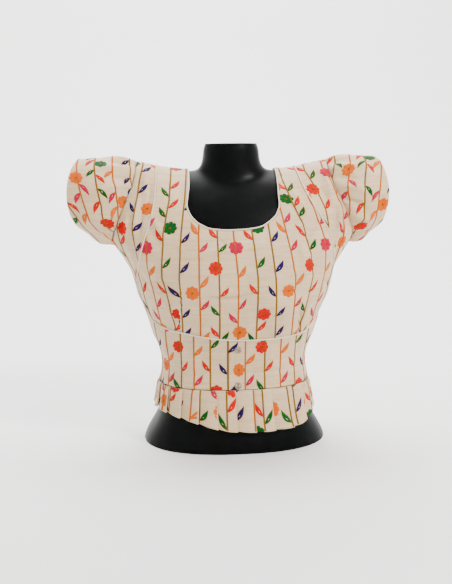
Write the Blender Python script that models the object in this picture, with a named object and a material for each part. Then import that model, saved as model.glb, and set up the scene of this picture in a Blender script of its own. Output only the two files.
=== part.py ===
# Choli blouse with a knife-pleated peplum, worn by a glossy black dress form without limbs.
# Metres, +Z up. The origin is the middle of the form's flat base, and the blouse's front faces -Y.

import math
from collections import namedtuple

import bmesh
import bpy
import numpy as np

# Driving dimensions, in millimetres
WALL = 1.4
PEPLUM_WALL = 1.0
SEAM_GAP = 0.4
LAID_GAP = 0.35
ROUNDNESS = 2.35

SHOULDER_TOP = 484.0
SHOULDER_DIP = 18.0
DIP_FROM_X = 80.0
DIP_TO_X = 200.0
DIP_FROM_HEIGHT = 390.0

BUST_HEIGHT = 262.0
BUST_X = 76.0
BUST_SWELL = 6.0
BUST_SPREAD = 48.0

WAIST_SEAM = 101.4
UNDERARM = 336.0
FRONT_SEAM_X = -1.5
PLACKET_LEFT = -16.0
PLACKET_RIGHT = 13.0
PLACKET_WALL = 1.2

PLEATS = 24
PLEATS_RIGHT = 13
PLEAT_LAP = 7.0
BACK_LAP = 4.4
END_GAP = 0.3
LAP_EDGE_X = 24.0
LAYER_AT_SEAM = 1.5
LAYER_AT_HEM = 2.5
PEPLUM_TOP = 100.7
HemPoint = namedtuple("HemPoint", "turn height")
HEM = (
    HemPoint(0, 54.0),
    HemPoint(28, 48.0),
    HemPoint(48, 38.5),
    HemPoint(66, 37.5),
    HemPoint(82, 37.0),
    HemPoint(98, 40.5),
    HemPoint(107, 45.0),
    HemPoint(121, 52.0),
    HemPoint(137, 57.0),
    HemPoint(180, 60.0),
    HemPoint(225, 52.0),
    HemPoint(270, 46.0),
    HemPoint(315, 49.0),
    HemPoint(360, 54.0),
)

PIPING = 1.1
PIPING_SIDES = 6

Cuff = namedtuple("Cuff", "x bulge height half_height")
RIGHT_CUFF = Cuff(259.0, 17.0, 425.0, 59.0)
LEFT_CUFF = Cuff(248.0, 14.0, 421.0, 63.0)
CUFF_HALF_DEPTH = 57.0
CUFF_BULGE_POWER = 1.5
SLEEVE_PUFF = 12.0
SLEEVE_PUFF_PEAK = 0.8
SLEEVE_PUFF_AT_TOP = 0.35
SLEEVE_LEAN = 0.75
SLEEVE_GAP = 0.6
SLEEVE_STEPS = 8

BUTTON_RADIUS = 6.0
BUTTON_X = -1.0
BUTTON_HEIGHTS = {"upper": 170.0, "lower": 108.5}
BUTTON_STAND = 0.3

# Shank, underside, rim and low dome of a button, from the placket outwards.
ButtonRing = namedtuple("ButtonRing", "radius height")
BUTTON_PROFILE = (
    ButtonRing(1.6, 0.0),
    ButtonRing(1.6, 1.5),
    ButtonRing(4.6, 1.7),
    ButtonRing(BUTTON_RADIUS, 3.0),
    ButtonRing(5.4, 4.4),
    ButtonRing(3.4, 5.5),
    ButtonRing(1.4, 5.9),
)

# How many steps each stretch of a seam has. Two panels that share a seam share its steps.
ARMHOLE_STEPS = 12
SIDE_SEAM_STEPS = 9
BUST_SEAM_STEPS = 16
SHOULDER_STEPS = 4
BACK_NECK_STEPS = 6
SEAM_STEPS = ARMHOLE_STEPS + SIDE_SEAM_STEPS

Section = namedtuple("Section", "height half_width front back")

# Outer face of the cloth, from the hem to the shoulder line. Above the underarm the width is that of
# the body and sleeve taken together, and the armhole cuts it.
CLOTH = (
    Section(36, 139.0, 118, 103),
    Section(43, 136.5, 115, 100),
    Section(70, 132.0, 104, 92),
    Section(101, 129.0, 96, 87),
    Section(139, 124.5, 96, 83),
    Section(160, 129.5, 99, 84),
    Section(186, 139.5, 105, 87),
    Section(226, 152.0, 119, 92),
    Section(253, 163.0, 128, 96),
    Section(279, 170.0, 131, 99),
    Section(296, 175.5, 130, 100),
    Section(314, 185.5, 126, 101),
    Section(331, 197.0, 120, 102),
    Section(351, 212.0, 110, 101),
    Section(384, 226.0, 93, 95),
    Section(410, 230.0, 78, 88),
    Section(434, 231.0, 63, 76),
    Section(452, 231.0, 50, 62),
    Section(466, 231.0, 37, 46),
    Section(476, 231.0, 24, 30),
    Section(481.5, 231.0, 12, 15),
    Section(483.5, 231.0, 5, 6),
    Section(SHOULDER_TOP, 231.0, 0, 0),
)

# The dress form, from below its base to its shoulder line.
FORM = (
    Section(-20, 165.0, 119, 113),
    Section(0, 158.0, 119, 112),
    Section(16, 150.5, 118, 109),
    Section(30, 142.0, 115.5, 104),
    Section(43, 134.0, 112, 97),
    Section(70, 129.0, 101, 89),
    Section(101, 125.5, 92.5, 83.5),
    Section(139, 121.3, 92.6, 79.7),
    Section(160, 126.0, 95.6, 80.7),
    Section(186, 136.2, 101.6, 83.7),
    Section(226, 148.7, 115.6, 88.7),
    Section(253, 158.5, 124.6, 92.7),
    Section(279, 162.0, 127.6, 95.7),
    Section(314, 163.0, 122.4, 97.5),
    Section(351, 164.0, 106.4, 97.0),
    Section(384, 166.0, 89.2, 91.2),
    Section(410, 167.0, 74.0, 84.0),
    Section(434, 166.0, 58.5, 71.5),
    Section(452, 163.0, 45.5, 56.0),
    Section(466, 157.0, 31.0, 38.5),
    Section(475.5, 150.0, 16.0, 19.5),
    Section(481.2, 142.0, 0, 0),
)

NeckRing = namedtuple("NeckRing", "height half_width half_depth")

NECK = (
    NeckRing(400, 60, 40),
    NeckRing(425, 74, 47),
    NeckRing(440, 69, 49),
    NeckRing(450, 63, 49),
    NeckRing(458, 58, 48),
    NeckRing(468, 53, 47.5),
    NeckRing(482, 50, 46.5),
    NeckRing(509, 49, 46),
)
NECK_BACK = 6.0
FORM_CELL = 6.0
FORM_SOFTENING = 6
FORM_FACES_KEPT = 0.075
BELOW_BASE = -60.0
ABOVE_NECK = 560.0
CUTTER_HALF = 220.0

SeamPoint = namedtuple("SeamPoint", "x height")

# The piped seam round the centre front panel, from the wearer's right shoulder down the princess line,
# along the under-bust seam and up to the other shoulder. x and height are as seen from the front.
RIGHT_PRINCESS = (
    SeamPoint(-129, SHOULDER_TOP),
    SeamPoint(-131, 440),
    SeamPoint(-134, 410),
    SeamPoint(-140, 382),
    SeamPoint(-148, 358),
    SeamPoint(-156, 331),
    SeamPoint(-161, 305),
    SeamPoint(-163.5, 281),
    SeamPoint(-161, 261),
    SeamPoint(-149, 230),
    SeamPoint(-138, 212),
)
BUST_SEAM = (
    SeamPoint(-138, 212),
    SeamPoint(-116, 203),
    SeamPoint(-90, 198),
    SeamPoint(-45, 190),
    SeamPoint(FRONT_SEAM_X, 186),
    SeamPoint(50, 186),
    SeamPoint(90, 188),
    SeamPoint(114, 193),
    SeamPoint(132, 208),
)
LEFT_PRINCESS = (
    SeamPoint(108, SHOULDER_TOP),
    SeamPoint(117, 440),
    SeamPoint(128, 410),
    SeamPoint(143, 382),
    SeamPoint(155, 358),
    SeamPoint(163, 331),
    SeamPoint(166, 305),
    SeamPoint(165, 281),
    SeamPoint(159, 258),
    SeamPoint(145, 230),
    SeamPoint(132, 208),
)

NECKLINE_LEG_RIGHT = (
    SeamPoint(-76, SHOULDER_TOP),
    SeamPoint(-77, 450),
    SeamPoint(-80, 425),
    SeamPoint(-81, 403),
    SeamPoint(-74, 387),
    SeamPoint(-64, 377),
)
NECKLINE_BOTTOM = (
    SeamPoint(-64, 377),
    SeamPoint(-48, 369),
    SeamPoint(-28, 366),
    SeamPoint(-3, 365.5),
    SeamPoint(22, 367),
    SeamPoint(42, 371),
    SeamPoint(56, 379),
)
NECKLINE_LEG_LEFT = (
    SeamPoint(76, SHOULDER_TOP),
    SeamPoint(75, 450),
    SeamPoint(74, 425),
    SeamPoint(73, 403),
    SeamPoint(66, 388),
    SeamPoint(56, 379),
)
BACK_NECKLINE = (
    SeamPoint(76, SHOULDER_TOP),
    SeamPoint(72, 462),
    SeamPoint(58, 448),
    SeamPoint(32, 440),
    SeamPoint(0, 438),
)
ARMHOLE = (
    SeamPoint(162, SHOULDER_TOP),
    SeamPoint(165, 458),
    SeamPoint(171, 434),
    SeamPoint(182, 408),
    SeamPoint(191.5, 386),
    SeamPoint(198, 366),
    SeamPoint(203, 348),
    SeamPoint(200.5, UNDERARM),
)


def smooth(keys, values, at):
    """Values at the given places of a smooth curve through the rows of a table."""
    keys = np.asarray(keys, float)
    values = np.asarray(values, float)
    step = np.diff(keys)
    rise = np.diff(values) / step
    slope = np.empty_like(values)
    slope[0] = rise[0]
    slope[-1] = rise[-1]
    slope[1:-1] = (rise[:-1] * step[1:] + rise[1:] * step[:-1]) / (step[:-1] + step[1:])
    at = np.clip(np.asarray(at, float), keys[0], keys[-1])
    row = np.clip(np.searchsorted(keys, at, side="right") - 1, 0, len(step) - 1)
    t = (at - keys[row]) / step[row]
    start = values[row] * (1 + 2 * t) * (1 - t) ** 2 + slope[row] * step[row] * t * (1 - t) ** 2
    end = values[row + 1] * (3 - 2 * t) * t**2 - slope[row + 1] * step[row] * t**2 * (1 - t)
    return start + end


def ease(t):
    """0 below 0, 1 above 1, and a soft step between."""
    t = np.clip(t, 0, 1)
    return t * t * (3 - 2 * t)


class Skin:
    """A closed body surface through a table of sections. turn goes round it, with 0 on +X and a quarter
    turn at the front; path climbs it in millimetres of profile."""

    def __init__(self, sections):
        self.heights = np.array([row.height for row in sections], float)
        self.half_widths = [row.half_width for row in sections]
        self.fronts = [row.front for row in sections]
        self.backs = [row.back for row in sections]
        steps = np.hypot(np.diff(self.heights), np.diff(self.fronts))
        self.paths = np.concatenate([[0], np.cumsum(steps)])
        self.top = self.paths[-1]
        fine = np.linspace(0, self.top, 2000)
        self.fine_paths = fine
        self.fine_heights = np.maximum.accumulate(smooth(self.paths, self.heights, fine))

    def path_at(self, height):
        return np.interp(height, self.fine_heights, self.fine_paths)

    def turn_at(self, x, height):
        """The turn at which the front face has this x."""
        half_width = smooth(self.paths, self.half_widths, self.path_at(height))
        share = np.clip(np.abs(x) / half_width, 0, 1) ** (ROUNDNESS / 2)
        return np.arccos(np.sign(x) * share)

    def surface(self, turn, path):
        height = smooth(self.paths, self.heights, path)
        half_width = smooth(self.paths, self.half_widths, path)
        front = smooth(self.paths, self.fronts, path)
        back = smooth(self.paths, self.backs, path)
        across = np.cos(turn)
        along = np.sin(turn)
        x = half_width * np.sign(across) * np.abs(across) ** (2 / ROUNDNESS)
        depth = np.where(along > 0, front, back)
        y = -depth * np.sign(along) * np.abs(along) ** (2 / ROUNDNESS)
        swell = np.exp(-(((np.abs(x) - BUST_X) / BUST_SPREAD) ** 2))
        swell = swell * np.exp(-(((height - BUST_HEIGHT) / BUST_SPREAD) ** 2))
        y = y - BUST_SWELL * swell * np.clip(along, 0, 1)
        near_neck = 1 - ease((np.abs(x) - DIP_FROM_X) / (DIP_TO_X - DIP_FROM_X))
        near_top = ease((height - DIP_FROM_HEIGHT) / (SHOULDER_TOP - DIP_FROM_HEIGHT))
        return np.stack([x, y, height - SHOULDER_DIP * near_neck * near_top], -1)

    def normal(self, turn, path):
        turn, path = np.broadcast_arrays(np.asarray(turn, float), np.asarray(path, float))
        low = np.clip(path - 0.2, 0, self.top)
        high = np.clip(path + 0.2, 0, self.top)
        round_it = self.surface(turn - 0.002, path) - self.surface(turn + 0.002, path)
        up_it = self.surface(turn, high) - self.surface(turn, low)
        out = np.cross(round_it, up_it)
        return out / np.linalg.norm(out, axis=-1, keepdims=True)

    def point(self, turn, path, out=0.0):
        """A point moved out from the surface along its normal."""
        turn, path = np.broadcast_arrays(np.asarray(turn, float), np.asarray(path, float))
        return self.surface(turn, path) + self.normal(turn, path) * np.asarray(out)[..., None]


cloth = Skin(CLOTH)
form = Skin(FORM)
SEAM_TOP = cloth.top - SEAM_GAP


def seam_line(points, steps):
    """A smooth seam in the front view, as turns and paths on the cloth, in equal steps."""
    x = np.array([p.x for p in points], float)
    height = np.array([p.height for p in points], float)
    run = np.concatenate([[0], np.cumsum(np.hypot(np.diff(x), np.diff(height)))])
    at = np.linspace(0, run[-1], steps + 1)
    x = smooth(run, x, at)
    height = np.minimum(smooth(run, height, at), SHOULDER_TOP)
    path = np.minimum(cloth.path_at(height), SEAM_TOP)
    return np.stack([cloth.turn_at(x, height), path], -1)


def mirrored(line):
    """The same seam on the other side of the body."""
    return np.stack([math.pi - line[:, 0], line[:, 1]], -1)


def behind(line):
    """The same seam on the back of the body."""
    return np.stack([2 * math.pi - line[:, 0], line[:, 1]], -1)


def patch(low, high, start, end):
    """A grid of turns and paths between four edges: low and high run along it, start and end across."""
    s = np.linspace(0, 1, len(low))[:, None, None]
    r = np.linspace(0, 1, len(start))[None, :, None]
    between_long = (1 - r) * low[:, None] + r * high[:, None]
    between_ends = (1 - s) * start[None] + s * end[None]
    corners = (1 - s) * ((1 - r) * start[0] + r * start[-1]) + s * ((1 - r) * end[0] + r * end[-1])
    return between_long + between_ends - corners


def straight(a, b, steps):
    return np.linspace(a, b, steps + 1)


def pulled_in(grid, by):
    """The grid with each edge moved towards its inside."""
    for _ in range(2):
        for edge, inside in ((0, 1), (-1, -2)):
            way = grid[inside] - grid[edge]
            grid[edge] += by * way / np.linalg.norm(way, axis=-1, keepdims=True)
        grid = grid.swapaxes(0, 1)
    return grid


def material(name, colour, roughness, metallic=0.0, coat=0.0):
    made = bpy.data.materials.new(name)
    made.use_nodes = True
    shader = made.node_tree.nodes["Principled BSDF"]
    shader.inputs["Base Color"].default_value = (*colour, 1.0)
    shader.inputs["Roughness"].default_value = roughness
    shader.inputs["Metallic"].default_value = metallic
    shader.inputs["Coat Weight"].default_value = coat
    made.diffuse_color = (*colour, 1.0)
    return made


def solid(name, points, faces, finish, sharp=40.0):
    """A named object from points in millimetres, with its faces turned outwards."""
    mesh = bpy.data.meshes.new(name)
    mesh.from_pydata((np.asarray(points) * 0.001).tolist(), [], faces)
    shaper = bmesh.new()
    shaper.from_mesh(mesh)
    bmesh.ops.remove_doubles(shaper, verts=shaper.verts, dist=0.00001)
    bmesh.ops.recalc_face_normals(shaper, faces=shaper.faces)
    shaper.to_mesh(mesh)
    shaper.free()
    mesh.shade_smooth()
    mesh.set_sharp_from_angle(angle=math.radians(sharp))
    mesh.materials.append(finish)
    made = bpy.data.objects.new(name, mesh)
    bpy.context.scene.collection.objects.link(made)
    return made


def grid_faces(rows, columns, start=0, closed=False):
    faces = []
    for i in range(rows - 1):
        for j in range(columns if closed else columns - 1):
            k = (j + 1) % columns
            a = start + i * columns
            b = a + columns
            faces.append((a + j, a + k, b + k, b + j))
    return faces


def wall(name, outer, inner, finish, closed=False):
    """A cloth wall between two matching grids of points."""
    rows, columns = outer.shape[:2]
    count = rows * columns
    faces = grid_faces(rows, columns, 0, closed)
    faces += [face[::-1] for face in grid_faces(rows, columns, count, closed)]
    rim = [[j for j in range(columns)], [(rows - 1) * columns + j for j in range(columns)]]
    if closed:
        rim = [edge + edge[:1] for edge in rim]
    else:
        rim.append([i * columns for i in range(rows)])
        rim.append([(i + 1) * columns - 1 for i in range(rows)])
    for edge in rim:
        for a, b in zip(edge, edge[1:]):
            faces.append((a, b, b + count, a + count))
    points = np.concatenate([outer.reshape(-1, 3), inner.reshape(-1, 3)])
    return solid(name, points, faces, finish)


def panel(name, grid, finish, out=0.0, thickness=WALL):
    """A panel of the cloth from a grid of turns and paths."""
    outer = cloth.point(grid[..., 0], grid[..., 1], out)
    inner = cloth.point(grid[..., 0], grid[..., 1], out - thickness)
    return wall(name, pulled_in(outer, SEAM_GAP / 2), pulled_in(inner, SEAM_GAP / 2), finish)


def joined(*lines):
    """Seam lines end to end, without doubling the points where they meet."""
    return np.concatenate([lines[0]] + [line[1:] for line in lines[1:]])


def make_front_panel(finish):
    neckline = joined(
        seam_line(NECKLINE_LEG_RIGHT, SEAM_STEPS),
        seam_line(NECKLINE_BOTTOM, BUST_SEAM_STEPS),
        seam_line(NECKLINE_LEG_LEFT, SEAM_STEPS)[::-1],
    )
    edge = front_panel_edge()
    across = 6
    start = straight(neckline[0], edge[0], across)
    end = straight(neckline[-1], edge[-1], across)
    panel("front_panel", patch(neckline, edge, start, end), finish)
    return neckline


def front_panel_edge():
    return joined(
        seam_line(RIGHT_PRINCESS, SEAM_STEPS),
        seam_line(BUST_SEAM, BUST_SEAM_STEPS),
        seam_line(LEFT_PRINCESS, SEAM_STEPS)[::-1],
    )


def armhole_line():
    return seam_line(ARMHOLE, ARMHOLE_STEPS)


def side_seam_line():
    low = cloth.path_at(WAIST_SEAM)
    return straight((0.0, armhole_line()[-1, 1]), (0.0, low), SIDE_SEAM_STEPS)


def outer_side():
    """The armhole's front half and the side seam, on the wearer's left."""
    armhole = armhole_line()
    armhole[-1, 0] = 0.0
    return joined(armhole, side_seam_line())


def make_side_front(name, inner_edge, side, finish):
    """Shoulder, armhole and side in one with the midriff: it bends round the corner of the front panel."""
    half = BUST_SEAM_STEPS // 2
    middle = cloth.turn_at(FRONT_SEAM_X, WAIST_SEAM)
    low = cloth.path_at(WAIST_SEAM)
    waist = straight((side[-1, 0], low), (middle, low), half)
    outer_edge = joined(side, waist)
    across = 5
    start = straight(inner_edge[0], outer_edge[0], across)
    end = straight(inner_edge[-1], outer_edge[-1], across)
    panel(name, patch(inner_edge, outer_edge, start, end), finish)


def make_back(name, side, flip, finish):
    """Half of the back, from the side seam and the armhole's back half to the centre back."""
    low = cloth.path_at(WAIST_SEAM)
    neckline = seam_line(BACK_NECKLINE, BACK_NECK_STEPS)
    shoulder = straight(armhole_line()[0], neckline[0], SHOULDER_STEPS)
    top = behind(joined(shoulder, neckline))
    edge = behind(side)[::-1]
    centre = straight((1.5 * math.pi, low), (1.5 * math.pi, top[-1, 1]), SEAM_STEPS)
    hem = straight((2 * math.pi, low), (1.5 * math.pi, low), len(top) - 1)
    grid = patch(edge, centre, hem, top)
    if flip:
        grid[..., 0] = 3 * math.pi - grid[..., 0]
    panel(name, grid, finish)


def make_placket(finish):
    """The strip that laps over the closing in the midriff, on the points of the panels under it."""
    bottom = cloth.path_at(WAIST_SEAM)
    top = cloth.path_at(BUST_SEAM[4].height) - PIPING * 2
    rise = straight(bottom, top, 6)
    grid = np.empty((7, 5, 2))
    for i, path in enumerate(rise):
        height = smooth(cloth.paths, cloth.heights, path)
        grid[i, :, 0] = cloth.turn_at(straight(PLACKET_LEFT, PLACKET_RIGHT, 4), height)
        grid[i, :, 1] = path
    panel("placket", grid, finish, out=LAID_GAP + PLACKET_WALL, thickness=PLACKET_WALL)


def make_sleeve(name, side_sign, shape, finish):
    """A short puffed tube from the armhole to the open cuff."""
    front = armhole_line()
    front[-1, 0] = 0.0
    ring = np.concatenate([front, behind(front)[-2:0:-1]])
    armhole = cloth.point(ring[:, 0], ring[:, 1])
    armhole[:, 0] += SLEEVE_GAP
    around = np.arctan2(-armhole[:, 1], armhole[:, 2] - shape.height)
    cuff = np.stack(
        [
            shape.x + shape.bulge * np.abs(np.sin(around)) ** CUFF_BULGE_POWER,
            -CUFF_HALF_DEPTH * np.sin(around),
            shape.height + shape.half_height * np.cos(around),
        ],
        -1,
    )
    along = np.linspace(0, 1, SLEEVE_STEPS + 1)[:, None, None]
    outer = (1 - along) * armhole + along * cuff
    out = np.stack([np.zeros(len(ring)), -np.sin(around), np.cos(around) * SLEEVE_LEAN], -1)
    fullness = SLEEVE_PUFF_AT_TOP + (1 - SLEEVE_PUFF_AT_TOP) * np.abs(np.sin(around))[:, None]
    outer = outer + out * SLEEVE_PUFF * np.sin(math.pi * along**SLEEVE_PUFF_PEAK) * fullness
    run = np.gradient(outer, axis=0)
    turn = np.roll(outer, -1, axis=1) - np.roll(outer, 1, axis=1)
    normal = np.cross(turn, run)
    normal /= np.linalg.norm(normal, axis=-1, keepdims=True)
    away = (normal[..., 1:] * out[..., 1:]).sum()
    inner = outer - normal * WALL * math.copysign(1.0, away)
    outer[..., 0] *= side_sign
    inner[..., 0] *= side_sign
    wall(name, outer, inner, finish, closed=True)


def pleat_section(first, last, layer):
    """Middle line of the pleated strip, as runs along the waist and heights above the innermost layer."""
    pitch = waist_length() / PLEATS
    line = [(first * pitch - (PLEAT_LAP if first else 0.0), 0.0)]
    for pleat in range(first, last):
        begin = pleat * pitch
        fold = begin + pitch + PLEAT_LAP
        line.append((begin + PLEAT_LAP, 0.0))
        line.append((begin + pitch - layer, 2 * layer))
        line.append((fold, 2 * layer))
        line.append((fold + layer / 2, 1.5 * layer))
        line.append((fold, layer))
        line.append((begin + pitch, layer))
        if pleat < last - 1:
            line.append((begin + pitch - layer / 2, layer / 2))
            line.append((begin + pitch, 0.0))
    return np.array(line)


def waist_turns():
    """Turns round the waist and the length run up to each, from the centre back by the wearer's right side
    to the front and on to the centre back again."""
    turns = np.linspace(1.5 * math.pi, -0.5 * math.pi, 721)
    ring = cloth.point(turns, cloth.path_at(PEPLUM_TOP))
    run = np.concatenate([[0], np.cumsum(np.linalg.norm(np.diff(ring, axis=0), axis=1))])
    return turns, run


def waist_length():
    return waist_turns()[1][-1]


def hem_height(turn):
    """Height of the peplum's hem at a turn, through the table, whose turns are in degrees."""
    turns, heights = zip(*HEM)
    return smooth(turns, heights, np.mod(np.degrees(turn), 360))


def make_peplum(name, first, last, finish):
    """A strip of knife pleats that all turn the same way round the waist and open towards the hem."""
    turns, runs = waist_turns()
    lap_edge = np.interp(-cloth.turn_at(LAP_EDGE_X, PEPLUM_TOP), -turns, runs)
    pitch = runs[-1] / PLEATS
    shift = lap_edge - (PLEATS_RIGHT * pitch + PLEAT_LAP)
    rows = []
    for level in (0.0, 0.3, 0.65, 1.0):
        layer = LAYER_AT_SEAM + (LAYER_AT_HEM - LAYER_AT_SEAM) * level
        line = pleat_section(first, last, layer)
        way = np.gradient(line, axis=0)
        way /= np.linalg.norm(way, axis=1, keepdims=True)
        side = np.stack([-way[:, 1], way[:, 0]], -1) * PEPLUM_WALL / 2
        row = []
        for face in (line + side, line - side):
            run = face[:, 0] + shift
            run = run + BACK_LAP * ease((run - runs[-1]) / pitch + 1.2)
            run = np.clip(run, END_GAP, runs[-1] - END_GAP)
            turn = np.interp(run, runs, turns)
            height = PEPLUM_TOP + (hem_height(turn) - PEPLUM_TOP) * level
            base = cloth.surface(turn, cloth.path_at(height))
            out = cloth.normal(turn, cloth.path_at(height))
            out[:, 2] = 0.0
            out /= np.linalg.norm(out, axis=1, keepdims=True)
            row.append(base + out * (face[:, 1:] + PEPLUM_WALL / 2))
        rows.append(row)
    outer = np.array([row[0] for row in rows])
    inner = np.array([row[1] for row in rows])
    wall(name, outer, inner, finish)


def make_piping(name, points, finish, closed=False):
    """A thin filled cord along a seam."""
    curve = bpy.data.curves.new(name, "CURVE")
    curve.dimensions = "3D"
    curve.bevel_depth = PIPING * 0.001
    curve.bevel_resolution = (PIPING_SIDES - 4) // 2
    curve.use_fill_caps = not closed
    spline = curve.splines.new("POLY")
    spline.points.add(len(points) - 1)
    for place, point in zip(spline.points, points):
        place.co = (*(point * 0.001), 1.0)
    spline.use_cyclic_u = closed
    curve.materials.append(finish)
    made = bpy.data.objects.new(name, curve)
    bpy.context.scene.collection.objects.link(made)


def edge_cord(line, spare):
    """Points of a cord laid just outside the edge of a panel, at the middle of its wall."""
    edge = cloth.point(line[:, 0], line[:, 1], -WALL / 2)
    out = cloth.normal(line[:, 0], line[:, 1])
    run = np.gradient(edge, axis=0)
    away = np.cross(run, out)
    away /= np.linalg.norm(away, axis=1, keepdims=True)
    return edge + away * spare


def make_neck_piping(neckline, finish):
    left_half = behind(seam_line(BACK_NECKLINE, BACK_NECK_STEPS))
    right_half = left_half.copy()
    right_half[:, 0] = 3 * math.pi - right_half[:, 0]
    front = edge_cord(neckline, -(PIPING + 0.3))
    back = edge_cord(joined(left_half, right_half[::-1]), -(PIPING + 0.3))
    make_piping("neck_piping", np.concatenate([front[:-1], back[:-1]]), finish, closed=True)


def turned(name, profile, sides, centre, axis, finish):
    """A turned solid from radii and heights along its axis."""
    points = [(0.0, 0.0, profile[0][1])]
    faces = []
    for radius, height in profile:
        for k in range(sides):
            angle = 2 * math.pi * k / sides
            points.append((radius * math.cos(angle), radius * math.sin(angle), height))
    points.append((0.0, 0.0, profile[-1][1]))
    last = 1 + (len(profile) - 1) * sides
    faces += grid_faces(len(profile), sides, 1, closed=True)
    for k in range(sides):
        following = (k + 1) % sides
        faces.append((0, 1 + following, 1 + k))
        faces.append((len(points) - 1, last + k, last + following))
    side_way = np.cross((0.0, 0.0, 1.0), axis)
    side_way /= np.linalg.norm(side_way)
    up_way = np.cross(axis, side_way)
    turned_points = np.asarray(points) @ np.stack([side_way, up_way, axis]) + centre
    return solid(name, turned_points, faces, finish, sharp=50.0)


def make_buttons(finish):
    stand = LAID_GAP + PLACKET_WALL + BUTTON_STAND
    for name, height in BUTTON_HEIGHTS.items():
        path = cloth.path_at(height)
        turn = cloth.turn_at(BUTTON_X, height)
        centre = cloth.point(turn, path, stand)
        turned(f"button_{name}", BUTTON_PROFILE, 16, centre, cloth.normal(turn, path), finish)


def closed_tube(rings, closed_top):
    """Points and faces of a closed tube from stacked rings; closed_top caps it, or else its last ring is
    a slit whose two sides meet."""
    rows, columns = rings.shape[:2]
    points = list(rings.reshape(-1, 3)) + [rings[0].mean(axis=0)]
    faces = grid_faces(rows, columns, 0, closed=True)
    bottom = rows * columns
    faces += [((j + 1) % columns, j, bottom) for j in range(columns)]
    if closed_top:
        points.append(rings[-1].mean(axis=0))
        last = (rows - 1) * columns
        faces += [(last + j, last + (j + 1) % columns, bottom + 1) for j in range(columns)]
    return np.array(points), faces


def make_dress_form(finish):
    """Torso and neck in one smooth skin, cut off flat at the base and at the neck."""
    turns = np.linspace(0, 2 * math.pi, 96, endpoint=False)
    paths = np.linspace(0, form.top, 90)
    torso, faces = closed_tube(form.surface(turns[None], paths[:, None]), closed_top=False)
    neck_turns = np.linspace(0, 2 * math.pi, 64, endpoint=False)
    heights = [row.height for row in NECK]
    at = np.linspace(heights[0], heights[-1], 34)
    half_width = smooth(heights, [row.half_width for row in NECK], at)[:, None]
    half_depth = smooth(heights, [row.half_depth for row in NECK], at)[:, None]
    rings = np.stack(
        [
            half_width * np.cos(neck_turns),
            NECK_BACK - half_depth * np.sin(neck_turns),
            np.broadcast_to(at[:, None], (len(at), len(neck_turns))),
        ],
        -1,
    )
    neck, neck_faces = closed_tube(rings, closed_top=True)
    body = solid("dress_form", torso, faces, finish)
    throat = solid("neck_shape", neck, neck_faces, finish)
    throat.hide_render = True
    throat.display_type = "WIRE"
    union = body.modifiers.new("neck", "BOOLEAN")
    union.operation = "UNION"
    union.object = throat
    even = body.modifiers.new("even faces", "REMESH")
    even.mode = "VOXEL"
    even.voxel_size = FORM_CELL * 0.001
    soften = body.modifiers.new("soften", "SMOOTH")
    soften.factor = 0.5
    soften.iterations = FORM_SOFTENING
    thin = body.modifiers.new("fewer faces", "DECIMATE")
    thin.ratio = FORM_FACES_KEPT
    half = CUTTER_HALF
    for name, low, high in (("base", BELOW_BASE, 0.0), ("throat", NECK[-1].height - 1.5, ABOVE_NECK)):
        corners = [(x, y, z) for z in (low, high) for y in (-half, half) for x in (-half, half)]
        box = [(0, 1, 3, 2), (4, 5, 7, 6), (0, 1, 5, 4), (1, 3, 7, 5), (3, 2, 6, 7), (2, 0, 4, 6)]
        cutter = solid(f"{name}_cutter", corners, box, finish)
        cutter.hide_render = True
        cutter.display_type = "WIRE"
        cut = body.modifiers.new(f"flat {name}", "BOOLEAN")
        cut.operation = "DIFFERENCE"
        cut.object = cutter


def main():
    for old in list(bpy.data.objects):
        bpy.data.objects.remove(old, do_unlink=True)
    silk = material("cream raw silk", (0.72, 0.63, 0.5), 0.6)
    piping = material("cream piping", (0.85, 0.8, 0.7), 0.55)
    pearl = material("pearly button", (0.72, 0.66, 0.58), 0.2, metallic=0.1, coat=0.6)
    gloss = material("glossy black form", (0.006, 0.008, 0.008), 0.12, coat=0.5)

    make_dress_form(gloss)
    neckline = make_front_panel(silk)
    edge = front_panel_edge()
    corner = SEAM_STEPS + BUST_SEAM_STEPS // 2
    left_side = outer_side()
    make_side_front("side_front_right", edge[: corner + 1], mirrored(left_side), silk)
    make_side_front("side_front_left", edge[corner:][::-1], left_side, silk)
    make_back("back_left", left_side, False, silk)
    make_back("back_right", left_side, True, silk)
    make_placket(silk)
    make_sleeve("sleeve_left", 1, LEFT_CUFF, silk)
    make_sleeve("sleeve_right", -1, RIGHT_CUFF, silk)
    make_peplum("peplum_right", 0, PLEATS_RIGHT, silk)
    make_peplum("peplum_left", PLEATS_RIGHT, PLEATS, silk)
    make_neck_piping(neckline, piping)
    seam = cloth.point(edge[:, 0], edge[:, 1], LAID_GAP + PIPING)
    make_piping("front_seam_piping", seam, piping)
    make_buttons(pearl)


main()
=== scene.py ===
# %% [markdown]
# A choli blouse is a short, close blouse worn under a sari. This one is raw silk, embroidered all over with
# stems, leaves and flowers, and it stands on a dress form. The script loads the solid model as a fixed
# frame, then makes the finished look of each cut piece around it: thin cloth, raised stitches, piped seams.
# %% Load the frame
import math
from collections import namedtuple

import bmesh
import bpy
import numpy as np
from mathutils import Matrix, Vector, kdtree


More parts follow.
